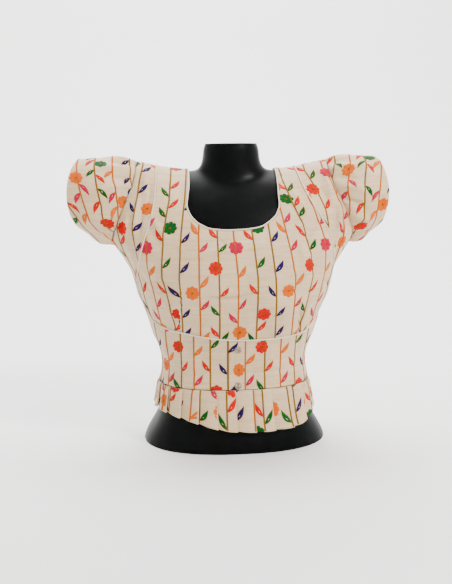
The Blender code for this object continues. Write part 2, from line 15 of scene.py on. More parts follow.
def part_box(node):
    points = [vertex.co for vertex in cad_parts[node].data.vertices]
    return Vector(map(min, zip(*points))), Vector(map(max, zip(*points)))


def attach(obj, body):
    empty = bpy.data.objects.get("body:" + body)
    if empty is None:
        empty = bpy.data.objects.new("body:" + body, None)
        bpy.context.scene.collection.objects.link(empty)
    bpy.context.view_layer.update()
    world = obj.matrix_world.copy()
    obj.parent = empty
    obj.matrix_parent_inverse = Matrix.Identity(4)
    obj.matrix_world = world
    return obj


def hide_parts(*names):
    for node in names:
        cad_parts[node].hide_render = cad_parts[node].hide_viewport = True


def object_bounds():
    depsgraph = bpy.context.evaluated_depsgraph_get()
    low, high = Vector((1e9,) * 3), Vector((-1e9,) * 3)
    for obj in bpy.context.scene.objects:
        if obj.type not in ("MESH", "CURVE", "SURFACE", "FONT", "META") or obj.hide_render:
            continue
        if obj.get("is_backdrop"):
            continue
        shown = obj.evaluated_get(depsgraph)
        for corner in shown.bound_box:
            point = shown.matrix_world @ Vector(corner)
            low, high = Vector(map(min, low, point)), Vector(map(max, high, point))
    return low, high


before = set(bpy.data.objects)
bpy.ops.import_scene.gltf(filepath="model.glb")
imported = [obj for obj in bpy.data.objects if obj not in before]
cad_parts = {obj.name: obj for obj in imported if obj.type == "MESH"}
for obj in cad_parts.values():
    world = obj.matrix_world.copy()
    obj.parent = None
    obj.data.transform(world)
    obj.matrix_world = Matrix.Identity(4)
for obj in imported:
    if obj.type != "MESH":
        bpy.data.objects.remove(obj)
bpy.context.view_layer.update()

# %% [markdown]
# The picture is taken from a little left of the front, at shoulder height. A photographer aims the lens
# a bit down and uses a slightly long lens, so that the shoulders aren't widened. The camera is set up
# first, because every later choice is judged through it.
# %% Camera
MM = 0.001
CAMERA_AZIMUTH = math.radians(-5.0)
CAMERA_DISTANCE = 1500.0
CAMERA_HEIGHT = 475.0
MM_PER_PIXEL = 1.728
PICTURE_WIDTH = 452
PICTURE_HEIGHT = 584
HORIZON_ROW = 162.5
CENTRE_COLUMN = 232.0
SENSOR = 36.0
AIM_DOWN = math.radians(4.7)
ROLL = math.radians(0.6)


def add_camera():
    data = bpy.data.cameras.new("camera")
    data.sensor_width = SENSOR
    data.lens = SENSOR * CAMERA_DISTANCE / (MM_PER_PIXEL * PICTURE_HEIGHT)
    aim_row = HORIZON_ROW + CAMERA_DISTANCE * math.tan(AIM_DOWN) / MM_PER_PIXEL
    data.shift_y = (aim_row - PICTURE_HEIGHT / 2) / PICTURE_HEIGHT
    data.shift_x = (PICTURE_WIDTH / 2 - CENTRE_COLUMN) / PICTURE_HEIGHT
    camera = bpy.data.objects.new("camera", data)
    camera.location = (
        CAMERA_DISTANCE * math.sin(CAMERA_AZIMUTH) * MM,
        -CAMERA_DISTANCE * math.cos(CAMERA_AZIMUTH) * MM,
        CAMERA_HEIGHT * MM,
    )
    turn = Matrix.Rotation(CAMERA_AZIMUTH, 4, "Z") @ Matrix.Rotation(math.pi / 2 - AIM_DOWN, 4, "X")
    camera.rotation_euler = (turn @ Matrix.Rotation(-ROLL, 4, "Z")).to_euler()
    bpy.context.scene.collection.objects.link(camera)
    bpy.context.scene.camera = camera
    print("lens", round(data.lens, 1), "mm, shift", round(data.shift_y, 3))


add_camera()

# %% [markdown]
# A pattern cutter starts from the body's girths. The table gives half the width and the front and back
# depth of the outside of the cloth at each height, in millimetres, and a smooth curve runs through the
# rows. The same numbers shaped the solids, so the visible cloth lies exactly where they do.
# %% Body sections
Section = namedtuple("Section", "height half_width front back")
SHOULDER_TOP = 484.0
CLOTH = (
    Section(36, 139.0, 118, 103),
    Section(43, 136.5, 115, 100),
    Section(70, 132.0, 104, 92),
    Section(101, 129.0, 96, 87),
    Section(139, 124.5, 96, 83),
    Section(160, 129.5, 99, 84),
    Section(186, 139.5, 105, 87),
    Section(226, 152.0, 119, 92),
    Section(253, 163.0, 128, 96),
    Section(279, 170.0, 131, 99),
    Section(296, 175.5, 130, 100),
    Section(314, 185.5, 126, 101),
    Section(331, 197.0, 120, 102),
    Section(351, 212.0, 110, 101),
    Section(384, 226.0, 93, 95),
    Section(410, 230.0, 78, 88),
    Section(434, 231.0, 63, 76),
    Section(452, 231.0, 50, 62),
    Section(466, 231.0, 37, 46),
    Section(476, 231.0, 24, 30),
    Section(481.5, 231.0, 12, 15),
    Section(483.5, 231.0, 5, 6),
    Section(SHOULDER_TOP, 231.0, 0, 0),
)
ROUNDNESS = 2.35
SHOULDER_DIP = 18.0
DIP_FROM_X = 80.0
DIP_TO_X = 200.0
DIP_FROM_HEIGHT = 390.0
BUST_HEIGHT = 262.0
BUST_X = 76.0
BUST_SWELL = 6.0
BUST_SPREAD = 48.0


def smooth(keys, values, at):
    """Values at the given places of a smooth curve through the rows of a table."""
    keys = np.asarray(keys, float)
    values = np.asarray(values, float)
    step = np.diff(keys)
    rise = np.diff(values) / step
    slope = np.empty_like(values)
    slope[0] = rise[0]
    slope[-1] = rise[-1]
    slope[1:-1] = (rise[:-1] * step[1:] + rise[1:] * step[:-1]) / (step[:-1] + step[1:])
    at = np.clip(np.asarray(at, float), keys[0], keys[-1])
    row = np.clip(np.searchsorted(keys, at, side="right") - 1, 0, len(step) - 1)
    t = (at - keys[row]) / step[row]
    start = values[row] * (1 + 2 * t) * (1 - t) ** 2 + slope[row] * step[row] * t * (1 - t) ** 2
    end = values[row + 1] * (3 - 2 * t) * t**2 - slope[row + 1] * step[row] * t**2 * (1 - t)
    return start + end


def ease(t):
    """0 below 0, 1 above 1, and a soft step between."""
    t = np.clip(t, 0, 1)
    return t * t * (3 - 2 * t)


def unit(ways):
    """Vectors of length 1 that point the same ways."""
    return ways / np.linalg.norm(ways, axis=-1, keepdims=True)


# %% [markdown]
# A body surface needs two directions to walk in. Here turn goes round the body, with a quarter turn at the
# front, and path climbs it along the profile, as a tape measure would. Working in these two numbers makes
# every seam a simple line.
# %% Body surface
PATH_SAMPLES = 2000
GIRTH_TURNS = 361
GIRTH_PATHS = 101
NORMAL_STEP = 0.2
NORMAL_TURN = 0.002


class Skin:
    """A closed body surface through a table of sections. turn 0 is on +X and a quarter turn is the front;
    path climbs the front profile in millimetres."""

    def __init__(self, sections):
        self.heights = np.array([row.height for row in sections], float)
        self.half_widths = [row.half_width for row in sections]
        self.fronts = [row.front for row in sections]
        self.backs = [row.back for row in sections]
        steps = np.hypot(np.diff(self.heights), np.diff(self.fronts))
        self.paths = np.concatenate([[0], np.cumsum(steps)])
        self.top = self.paths[-1]
        fine = np.linspace(0, self.top, PATH_SAMPLES)
        self.fine_paths = fine
        self.fine_heights = np.maximum.accumulate(smooth(self.paths, self.heights, fine))
        self.girth_turns = np.linspace(0, 2 * math.pi, GIRTH_TURNS)
        self.girth_paths = np.linspace(0, self.top, GIRTH_PATHS)
        ring = self.surface(self.girth_turns[None], self.girth_paths[:, None])
        runs = np.linalg.norm(np.diff(ring, axis=1), axis=-1)
        self.girths = np.concatenate([np.zeros((len(ring), 1)), np.cumsum(runs, axis=1)], 1)

    def path_at(self, height):
        return np.interp(height, self.fine_heights, self.fine_paths)

    def height_at(self, path):
        return np.interp(path, self.fine_paths, self.fine_heights)

    def turn_at(self, x, height):
        """The turn at which the front face has this x."""
        half_width = smooth(self.paths, self.half_widths, self.path_at(height))
        share = np.clip(np.abs(x) / half_width, 0, 1) ** (ROUNDNESS / 2)
        return np.arccos(np.sign(x) * share)

    def surface(self, turn, path):
        height = smooth(self.paths, self.heights, path)
        half_width = smooth(self.paths, self.half_widths, path)
        front = smooth(self.paths, self.fronts, path)
        back = smooth(self.paths, self.backs, path)
        across = np.cos(turn)
        along = np.sin(turn)
        x = half_width * np.sign(across) * np.abs(across) ** (2 / ROUNDNESS)
        depth = np.where(along > 0, front, back)
        y = -depth * np.sign(along) * np.abs(along) ** (2 / ROUNDNESS)
        swell = np.exp(-(((np.abs(x) - BUST_X) / BUST_SPREAD) ** 2))
        swell = swell * np.exp(-(((height - BUST_HEIGHT) / BUST_SPREAD) ** 2))
        y = y - BUST_SWELL * swell * np.clip(along, 0, 1)
        near_neck = 1 - ease((np.abs(x) - DIP_FROM_X) / (DIP_TO_X - DIP_FROM_X))
        near_top = ease((height - DIP_FROM_HEIGHT) / (SHOULDER_TOP - DIP_FROM_HEIGHT))
        return np.stack([x, y, height - SHOULDER_DIP * near_neck * near_top], -1)

    def normal(self, turn, path):
        turn, path = np.broadcast_arrays(np.asarray(turn, float), np.asarray(path, float))
        low = np.clip(path - NORMAL_STEP, 0, self.top)
        high = np.clip(path + NORMAL_STEP, 0, self.top)
        round_it = self.surface(turn - NORMAL_TURN, path) - self.surface(turn + NORMAL_TURN, path)
        up_it = self.surface(turn, high) - self.surface(turn, low)
        return unit(np.cross(round_it, up_it))

    def point(self, turn, path, out=0.0):
        """A point moved out from the surface along its normal."""
        turn, path = np.broadcast_arrays(np.asarray(turn, float), np.asarray(path, float))
        return self.surface(turn, path) + self.normal(turn, path) * np.asarray(out)[..., None]

    def run_from(self, turn, path, start):
        """Tape length round the body from the turn called start, positive towards +X at the front."""
        row = np.clip(path / self.top * (GIRTH_PATHS - 1), 0, GIRTH_PATHS - 1.001)
        low = row.astype(int)
        share = row - low

        def run(at):
            column = np.clip(at / (2 * math.pi) * (GIRTH_TURNS - 1), 0, GIRTH_TURNS - 1.001)
            left = column.astype(int)
            part = column - left
            lower = self.girths[low, left] * (1 - part) + self.girths[low, left + 1] * part
            upper = self.girths[low + 1, left] * (1 - part) + self.girths[low + 1, left + 1] * part
            return lower * (1 - share) + upper * share

        return run(np.full_like(path, start)) - run(np.mod(turn, 2 * math.pi))


body = Skin(CLOTH)
print("bust girth", round(float(body.girths[body.girth_paths.searchsorted(body.path_at(270)), -1])), "mm")

# %% [markdown]
# The seams are drawn as a cutter draws them on the front view: the princess seam from the shoulder down
# over the bust, the seam under the bust, the neckline, the armhole. Each is a short list of points with a
# smooth curve through them. The panels between the seams are filled by blending their edges.
# %% Seam lines
SeamPoint = namedtuple("SeamPoint", "x height")
FRONT_SEAM_X = -1.5
BUST_SEAM_MIDDLE = 186.0
WAIST_SEAM = 101.4
UNDERARM = 336.0
SEAM_GAP = 0.4
RIGHT_PRINCESS = (
    SeamPoint(-129, SHOULDER_TOP),
    SeamPoint(-131, 440),
    SeamPoint(-134, 410),
    SeamPoint(-140, 382),
    SeamPoint(-148, 358),
    SeamPoint(-156, 331),
    SeamPoint(-161, 305),
    SeamPoint(-163.5, 281),
    SeamPoint(-161, 261),
    SeamPoint(-149, 230),
    SeamPoint(-138, 212),
)
BUST_SEAM = (
    SeamPoint(-138, 212),
    SeamPoint(-116, 203),
    SeamPoint(-90, 198),
    SeamPoint(-45, 190),
    SeamPoint(FRONT_SEAM_X, BUST_SEAM_MIDDLE),
    SeamPoint(50, 186),
    SeamPoint(90, 188),
    SeamPoint(114, 193),
    SeamPoint(132, 208),
)
LEFT_PRINCESS = (
    SeamPoint(108, SHOULDER_TOP),
    SeamPoint(117, 440),
    SeamPoint(128, 410),
    SeamPoint(143, 382),
    SeamPoint(155, 358),
    SeamPoint(163, 331),
    SeamPoint(166, 305),
    SeamPoint(165, 281),
    SeamPoint(159, 258),
    SeamPoint(145, 230),
    SeamPoint(132, 208),
)
NECKLINE_LEG_RIGHT = (
    SeamPoint(-76, SHOULDER_TOP),
    SeamPoint(-77, 450),
    SeamPoint(-80, 425),
    SeamPoint(-81, 403),
    SeamPoint(-74, 387),
    SeamPoint(-64, 377),
)
NECKLINE_BOTTOM = (
    SeamPoint(-64, 377),
    SeamPoint(-48, 369),
    SeamPoint(-28, 366),
    SeamPoint(-3, 365.5),
    SeamPoint(22, 367),
    SeamPoint(42, 371),
    SeamPoint(56, 379),
)
NECKLINE_LEG_LEFT = (
    SeamPoint(76, SHOULDER_TOP),
    SeamPoint(75, 450),
    SeamPoint(74, 425),
    SeamPoint(73, 403),
    SeamPoint(66, 388),
    SeamPoint(56, 379),
)
BACK_NECKLINE = (
    SeamPoint(76, SHOULDER_TOP),
    SeamPoint(72, 462),
    SeamPoint(58, 448),
    SeamPoint(32, 440),
    SeamPoint(0, 438),
)
ARMHOLE = (
    SeamPoint(162, SHOULDER_TOP),
    SeamPoint(165, 458),
    SeamPoint(171, 434),
    SeamPoint(182, 408),
    SeamPoint(191.5, 386),
    SeamPoint(198, 366),
    SeamPoint(203, 348),
    SeamPoint(200.5, UNDERARM),
)
# Steps of the fine cloth along each stretch of seam
ARMHOLE_STEPS = 64
SIDE_SEAM_STEPS = 56
BUST_SEAM_STEPS = 96
SHOULDER_STEPS = 24
BACK_NECK_STEPS = 34
SEAM_STEPS = ARMHOLE_STEPS + SIDE_SEAM_STEPS


def seam_line(points, steps):
    """A smooth seam in the front view, as turns and paths on the body, in equal steps."""
    x = np.array([p.x for p in points], float)
    height = np.array([p.height for p in points], float)
    run = np.concatenate([[0], np.cumsum(np.hypot(np.diff(x), np.diff(height)))])
    at = np.linspace(0, run[-1], steps + 1)
    x = smooth(run, x, at)
    height = np.minimum(smooth(run, height, at), SHOULDER_TOP)
    path = np.minimum(body.path_at(height), body.top - SEAM_GAP)
    return np.stack([body.turn_at(x, height), path], -1)


def mirrored(line):
    """The same seam on the other side of the body."""
    return np.stack([math.pi - line[:, 0], line[:, 1]], -1)


def behind(line):
    """The same seam on the back of the body."""
    return np.stack([2 * math.pi - line[:, 0], line[:, 1]], -1)


def joined(*lines):
    """Seam lines end to end, without doubling the points where they meet."""
    return np.concatenate([lines[0]] + [line[1:] for line in lines[1:]])


def straight(a, b, steps):
    return np.linspace(a, b, steps + 1)


def patch(low, high, start, end):
    """A grid of turns and paths between four edges: low and high run along it, start and end across."""
    s = np.linspace(0, 1, len(low))[:, None, None]
    r = np.linspace(0, 1, len(start))[None, :, None]
    between_long = (1 - r) * low[:, None] + r * high[:, None]
    between_ends = (1 - s) * start[None] + s * end[None]
    corners = (1 - s) * ((1 - r) * start[0] + r * start[-1]) + s * ((1 - r) * end[0] + r * end[-1])
    return between_long + between_ends - corners


neckline = joined(
    seam_line(NECKLINE_LEG_RIGHT, SEAM_STEPS),
    seam_line(NECKLINE_BOTTOM, BUST_SEAM_STEPS),
    seam_line(NECKLINE_LEG_LEFT, SEAM_STEPS)[::-1],
)
piped_seam = joined(
    seam_line(RIGHT_PRINCESS, SEAM_STEPS),
    seam_line(BUST_SEAM, BUST_SEAM_STEPS),
    seam_line(LEFT_PRINCESS, SEAM_STEPS)[::-1],
)
armhole = seam_line(ARMHOLE, ARMHOLE_STEPS)
armhole[-1, 0] = 0.0
waist_path = float(body.path_at(WAIST_SEAM))
side_seam = straight((0.0, armhole[-1, 1]), (0.0, waist_path), SIDE_SEAM_STEPS)
left_side = joined(armhole, side_seam)
seam_length = np.linalg.norm(np.diff(body.surface(*piped_seam.T), axis=0), axis=1).sum()
print("piped seam", round(float(seam_length)), "mm long")


# %% [markdown]
# Worn cloth is never an even skin. It pulls between the points that hold it: the bust, the armholes, the
# seams. Each crease here is placed one by one as a soft ridge or trough along a short bent line, with its own
# width and depth, and near every seam the cloth rolls in, because two layers are folded under it.
# %% Creases
Crease = namedtuple("Crease", "start middle end width depth")
CREASE_STRENGTH = 3.0
CREASE_FADE = 0.7
RIPPLE_WAVES = 7


def nearest_on(line, points):
    """Distance from each point to a line of points, and the share of the line at which it is met."""
    best = np.full(points.shape[:-1], np.inf)
    where = np.zeros(points.shape[:-1])
    count = len(line) - 1
    for i in range(count):
        way = line[i + 1] - line[i]
        t = np.clip(((points - line[i]) @ way) / (way @ way), 0, 1)
        gap = np.linalg.norm(points - (line[i] + t[..., None] * way), axis=-1)
        closer = gap < best
        best = np.where(closer, gap, best)
        where = np.where(closer, (i + t) / count, where)
    return best, where


def bent(start, middle, end, steps=8):
    """Points of a bow through three points."""
    t = np.linspace(0, 1, steps + 1)[:, None]
    start, middle, end = (np.asarray(p, float) for p in (start, middle, end))
    control = 2 * middle - (start + end) / 2
    return (1 - t) ** 2 * start + 2 * t * (1 - t) * control + t**2 * end


def pressed(points, normals, creases, place):
    """The points moved in and out by the creases; place turns a crease's own coordinates into a point."""
    lift = np.zeros(points.shape[:-1])
    for crease in creases:
        line = np.array([place(*p) for p in bent(crease.start, crease.middle, crease.end)])
        gap, where = nearest_on(line, points)
        fade = np.sin(math.pi * np.clip(where, 0.02, 0.98)) ** CREASE_FADE
        lift += CREASE_STRENGTH * crease.depth * fade * np.exp(-((gap / crease.width) ** 2))
    return points + normals * lift[..., None]


def edge_distance(points):
    """How far each point of a grid is from the grid's nearest edge."""
    along = np.linalg.norm(np.diff(points, axis=0), axis=-1)
    across = np.linalg.norm(np.diff(points, axis=1), axis=-1)
    down = np.concatenate([np.zeros((1, points.shape[1])), np.cumsum(along, axis=0)])
    over = np.concatenate([np.zeros((points.shape[0], 1)), np.cumsum(across, axis=1)], 1)
    return np.minimum.reduce([down, down[-1:] - down, over, over[:, -1:] - over])


def grid_normals(points, like):
    """Normals of a grid of points, on the same side as the normals given."""
    out = np.cross(np.gradient(points, axis=0), np.gradient(points, axis=1))
    out /= np.maximum(np.linalg.norm(out, axis=-1, keepdims=True), 1e-9)
    return out * np.sign((out * like).sum(axis=-1, keepdims=True) + 1e-9)


def ripple(points, size, seed):
    """A smooth, uneven value from about -1 to 1 that changes over a length of size."""
    rng = np.random.default_rng(seed)
    total = np.zeros(points.shape[:-1])
    for _ in range(RIPPLE_WAVES):
        way = rng.normal(size=3)
        way *= rng.uniform(0.6, 1.5) / np.linalg.norm(way)
        total += np.sin(points @ way * (2 * math.pi / size) + rng.uniform(0, 2 * math.pi))
    return total / 3.0


# %% [markdown]
# Before it is sewn, each piece lies flat, and the embroidery is worked on it then. So every grid point of
# a panel also gets a flat place: u across the stems and v down them, in millimetres. The stitches are
# drawn flat and carried to the body by these numbers, as the real ones were.
# %% Sheets of cloth
CLOTH_THICKNESS = 0.9
STEM_SPACING = 31.4
KINDS_OF_STEM = 5
SEARCH_ROUNDS = 6
LONGEST_STEP = 2.5
LEAST_STRETCH = 0.55
MOST_STRETCH = 1.8


class Sheet:
    """A cut piece of cloth: grid points on the body, their normals, and their places on the flat cloth."""

    def __init__(self, name, points, normals, flat, inner=None, shown=None):
        self.name = name
        self.folded = shown is not None
        self.points = points
        self.normals = normals
        self.flat = flat
        self.inner = points - normals * CLOTH_THICKNESS if inner is None else inner
        self.shown = np.ones(points.shape[:2], bool) if shown is None else shown
        self.tree = kdtree.KDTree(points.shape[0] * points.shape[1])
        for index, (u, v) in enumerate(flat.reshape(-1, 2)):
            self.tree.insert((u, v, 0.0), index)
        self.tree.balance()

    def at(self, values, place):
        """Values of the grid between its points, and how they change down and across it."""
        rows, columns = values.shape[:2]
        row = np.clip(np.floor(place[:, 0]).astype(int), 0, rows - 2)
        column = np.clip(np.floor(place[:, 1]).astype(int), 0, columns - 2)
        s = (place[:, 0] - row)[:, None]
        t = (place[:, 1] - column)[:, None]
        a = values[row, column]
        b = values[row, column + 1]
        c = values[row + 1, column]
        d = values[row + 1, column + 1]
        value = (1 - s) * ((1 - t) * a + t * b) + s * ((1 - t) * c + t * d)
        down = (1 - t) * (c - a) + t * (d - b)
        across = (1 - s) * (b - a) + s * (d - c)
        return value, down, across

    def find(self, flat):
        """Row and column, as real numbers, of places on the flat cloth."""
        columns = self.points.shape[1]
        nearest = np.array([self.tree.find((u, v, 0.0))[1] for u, v in flat])
        place = np.stack([nearest // columns, nearest % columns], -1).astype(float)
        for _ in range(SEARCH_ROUNDS):
            value, down, across = self.at(self.flat, place)
            miss = flat - value
            area = down[:, 0] * across[:, 1] - down[:, 1] * across[:, 0]
            area = np.where(np.abs(area) < 1e-6, 1e-6, area)
            rows = (miss[:, 0] * across[:, 1] - miss[:, 1] * across[:, 0]) / area
            cols = (down[:, 0] * miss[:, 1] - down[:, 1] * miss[:, 0]) / area
            place = place + np.clip(np.stack([rows, cols], -1), -LONGEST_STEP, LONGEST_STEP)
        return place

    def stretch(self, place):
        """Millimetres on the body for one millimetre of flat cloth, along u and along v."""
        if self.folded:
            return np.ones((len(place), 2))
        _, flat_down, flat_across = self.at(self.flat, place)
        _, down, across = self.at(self.points, place)
        area = flat_down[:, 0] * flat_across[:, 1] - flat_down[:, 1] * flat_across[:, 0]
        area = np.where(np.abs(area) < 1e-6, 1e-6, area)[:, None]
        along_u = (down * flat_across[:, 1:] - across * flat_down[:, 1:]) / area
        along_v = (across * flat_down[:, :1] - down * flat_across[:, :1]) / area
        size = np.stack([np.linalg.norm(along_u, axis=1), np.linalg.norm(along_v, axis=1)], -1)
        return np.clip(size, LEAST_STRETCH, MOST_STRETCH)

    def cut(self):
        """Sides of the smallest rectangle that holds the flat cut piece, and its area, in metres."""
        corners = self.flat.reshape(-1, 2) * MM
        angles = np.radians(np.arange(0, 90, 3))
        ways = np.stack([np.cos(angles), np.sin(angles)])
        across = np.ptp(corners @ ways, axis=0)
        along = np.ptp(corners @ np.stack([-ways[1], ways[0]]), axis=0)
        best = np.argmin(across * along)
        width, length = across[best], along[best]
        one = self.flat[1:, 1:] - self.flat[:-1, :-1]
        other = self.flat[1:, :-1] - self.flat[:-1, 1:]
        area = np.abs(one[..., 0] * other[..., 1] - one[..., 1] * other[..., 0]).sum() / 2 * MM * MM
        return float(width), float(length), float(area)


def grid_quads(rows, columns):
    corner = np.arange(rows * columns).reshape(rows, columns)
    around = [corner[:-1, :-1], corner[:-1, 1:], corner[1:, 1:], corner[1:, :-1]]
    return np.stack(around, -1).reshape(-1, 4)


def new_object(name, points, faces, materials, smooth_angle=60.0):
    """A named mesh object from points in millimetres, shaded smooth."""
    mesh = bpy.data.meshes.new(name)
    mesh.from_pydata((np.asarray(points) * MM).tolist(), [], [list(face) for face in faces])
    for finish in materials:
        mesh.materials.append(finish)
    mesh.shade_smooth()
    mesh.set_sharp_from_angle(angle=math.radians(smooth_angle))
    made = bpy.data.objects.new(name, mesh)
    bpy.context.scene.collection.objects.link(made)
    return made


def set_uv(obj, name, corners):
    """Gives each face corner its place in a UV map."""
    layer = obj.data.uv_layers.new(name=name)
    layer.data.foreach_set("uv", np.asarray(corners, np.float32).reshape(-1))


def sewn_shell(sheet, finish):
    """The sheet as closed thin cloth: outer face, inner face and the rim between them."""
    rows, columns = sheet.points.shape[:2]
    count = rows * columns
    quads = grid_quads(rows, columns)
    a, b, _, d = (sheet.points.reshape(-1, 3)[quads[:, i]] for i in range(4))
    turned_out = (np.cross(b - a, d - a) * sheet.normals.reshape(-1, 3)[quads[:, 0]]).sum()
    if turned_out < 0:
        quads = quads[:, ::-1]
    whole = np.arange(count).reshape(rows, columns)
    if np.allclose(sheet.points[:, 0], sheet.points[:, -1], atol=1e-3):
        whole[:, -1] = whole[:, 0]
    whole = whole.reshape(-1)
    outer = whole[quads]
    starts = outer
    ends = np.roll(outer, -1, axis=1)
    edges = np.stack([starts.reshape(-1), ends.reshape(-1)], -1)
    corners = np.stack([quads.reshape(-1), np.roll(quads, -1, axis=1).reshape(-1)], -1)
    forward = edges[:, 0] * count + edges[:, 1]
    back = edges[:, 1] * count + edges[:, 0]
    rim = corners[~np.isin(forward, back)]
    rim_quads = np.stack([rim[:, 1], rim[:, 0], rim[:, 0] + count, rim[:, 1] + count], -1)
    both = np.concatenate([whole, whole + count])
    flat_corners = np.concatenate([quads, quads[:, ::-1] + count, rim_quads])
    points = np.concatenate([sheet.points.reshape(-1, 3), sheet.inner.reshape(-1, 3)])
    used, faces = np.unique(both[flat_corners], return_inverse=True)
    made = new_object(sheet.name, points[used], faces.reshape(-1, 4), [finish])
    flat = np.concatenate([sheet.flat.reshape(-1, 2)] * 2) * MM
    set_uv(made, "cloth", flat[flat_corners])
    return made


# %% [markdown]
# Raw silk is woven with yarns that swell and thin at random. The thick places are called slubs, and they
# catch the light as short level streaks. A noise stretched sideways gives them, a finer one gives the
# warp, and both feed the bump. Silk also shines softly at grazing angles, which is the sheen.
# %% Raw silk
# How often each kind of unevenness changes in a metre of cloth, across the stems and along them
SLUBS = (38.0, 1150.0, 1.0)
WARP = (1500.0, 60.0, 1.0)
BANDS = (9.0, 210.0, 1.0)
PATCHES = (14.0, 11.0, 1.0)
SILK_LIGHT = (212, 184, 146)
SILK_DARK = (174, 144, 104)


def linear(*rgb):
    """A colour as the shader takes it, from values of 0 to 255 as seen on a screen."""
    share = [value / 255 for value in rgb]
    return tuple(s / 12.92 if s <= 0.04045 else ((s + 0.055) / 1.055) ** 2.4 for s in share) + (1.0,)


def new_group(name, inputs, outputs):
    group = bpy.data.node_groups.new(name, "ShaderNodeTree")
    for label, kind, default in inputs:
        socket = group.interface.new_socket(label, in_out="INPUT", socket_type=f"NodeSocket{kind}")
        socket.default_value = default
    for label, kind in outputs:
        group.interface.new_socket(label, in_out="OUTPUT", socket_type=f"NodeSocket{kind}")
    nodes = group.nodes
    return group, nodes.new("NodeGroupInput"), nodes.new("NodeGroupOutput")


def stretched_noise(group, source, scale, detail=3.0):
    """Noise over a map, with its own scale along each way."""
    mapping = group.nodes.new("ShaderNodeMapping")
    mapping.inputs["Scale"].default_value = scale
    texture = group.nodes.new("ShaderNodeTexNoise")
    texture.inputs["Scale"].default_value = 1.0
    texture.inputs["Detail"].default_value = detail
    group.links.new(source, mapping.inputs["Vector"])
    group.links.new(mapping.outputs["Vector"], texture.inputs["Vector"])
    return texture.outputs["Fac"]


def remapped(group, value, low, high, to_low, to_high):
    node = group.nodes.new("ShaderNodeMapRange")
    for label, number in (("From Min", low), ("From Max", high), ("To Min", to_low), ("To Max", to_high)):
        node.inputs[label].default_value = number
    group.links.new(value, node.inputs["Value"])
    return node.outputs["Result"]


def combined(group, operation, first, second):
    node = group.nodes.new("ShaderNodeMath")
    node.operation = operation
    for socket, value in zip(node.inputs, (first, second)):
        if isinstance(value, (int, float)):
            socket.default_value = value
        else:
            group.links.new(value, socket)
    return node.outputs["Value"]


def weighted(group, *pairs):
    """The sum of values, each times its own weight."""
    total = 0.0
    for value, weight in pairs:
        total = combined(group, "ADD", combined(group, "MULTIPLY", value, weight), total)
    return total


def mixed(group, share, first, second):
    node = group.nodes.new("ShaderNodeMix")
    node.data_type = "RGBA"
    for socket, value in zip((node.inputs[0], node.inputs[6], node.inputs[7]), (share, first, second)):
        if isinstance(value, (int, float, tuple)):
            socket.default_value = value
        else:
            group.links.new(value, socket)
    return node.outputs[2]


def make_weave():
    """Colour, height and roughness of slubby silk over a UV map in metres."""
    group, given, result = new_group(
        "slub weave",
        [("Light", "Color", linear(*SILK_LIGHT)), ("Dark", "Color", linear(*SILK_DARK))],
        [("Colour", "Color"), ("Height", "Float"), ("Roughness", "Float")],
    )
    place = group.nodes.new("ShaderNodeUVMap")
    place.uv_map = "cloth"
    slubs = stretched_noise(group, place.outputs["UV"], SLUBS, 2.0)
    warp = stretched_noise(group, place.outputs["UV"], WARP, 2.0)
    bands = stretched_noise(group, place.outputs["UV"], BANDS)
    patches = stretched_noise(group, place.outputs["UV"], PATCHES)
    weave = weighted(group, (slubs, 0.65), (warp, 0.35))
    shade = weighted(group, (weave, 0.5), (bands, 0.25), (patches, 0.25))
    share = remapped(group, shade, 0.36, 0.62, 0.0, 1.0)
    colour = mixed(group, share, given.outputs["Dark"], given.outputs["Light"])
    height = weighted(group, (weave, 1.0), (bands, 0.6))
    group.links.new(colour, result.inputs["Colour"])
    group.links.new(height, result.inputs["Height"])
    group.links.new(remapped(group, weave, 0.3, 0.7, 0.62, 0.46), result.inputs["Roughness"])
    return group


def new_material(name, roughness=0.5, metallic=0.0, sheen=0.0, coat=0.0):
    made = bpy.data.materials.new(name)
    made.use_nodes = True
    shader = made.node_tree.nodes["Principled BSDF"]
    shader.inputs["Roughness"].default_value = roughness
    shader.inputs["Metallic"].default_value = metallic
    shader.inputs["Sheen Weight"].default_value = sheen
    shader.inputs["Coat Weight"].default_value = coat
    return made, made.node_tree, shader


def bumped(tree, shader, height, strength, distance):
    bump = tree.nodes.new("ShaderNodeBump")
    bump.inputs["Strength"].default_value = strength
    bump.inputs["Distance"].default_value = distance
    tree.links.new(height, bump.inputs["Height"])
    tree.links.new(bump.outputs["Normal"], shader.inputs["Normal"])


def place_group(tree, group):
    node = tree.nodes.new("ShaderNodeGroup")
    node.node_tree = group
    return node


def make_silk(weave):
    silk, tree, shader = new_material("cream raw silk", sheen=0.2)
    shader.inputs["Sheen Roughness"].default_value = 0.4
    shader.inputs["Specular IOR Level"].default_value = 0.4
    node = place_group(tree, weave)
    tree.links.new(node.outputs["Colour"], shader.inputs["Base Color"])
    tree.links.new(node.outputs["Roughness"], shader.inputs["Roughness"])
    bumped(tree, shader, node.outputs["Height"], 0.55, 0.0004)
    return silk


silk = make_silk(make_weave())
print("material", silk.name)

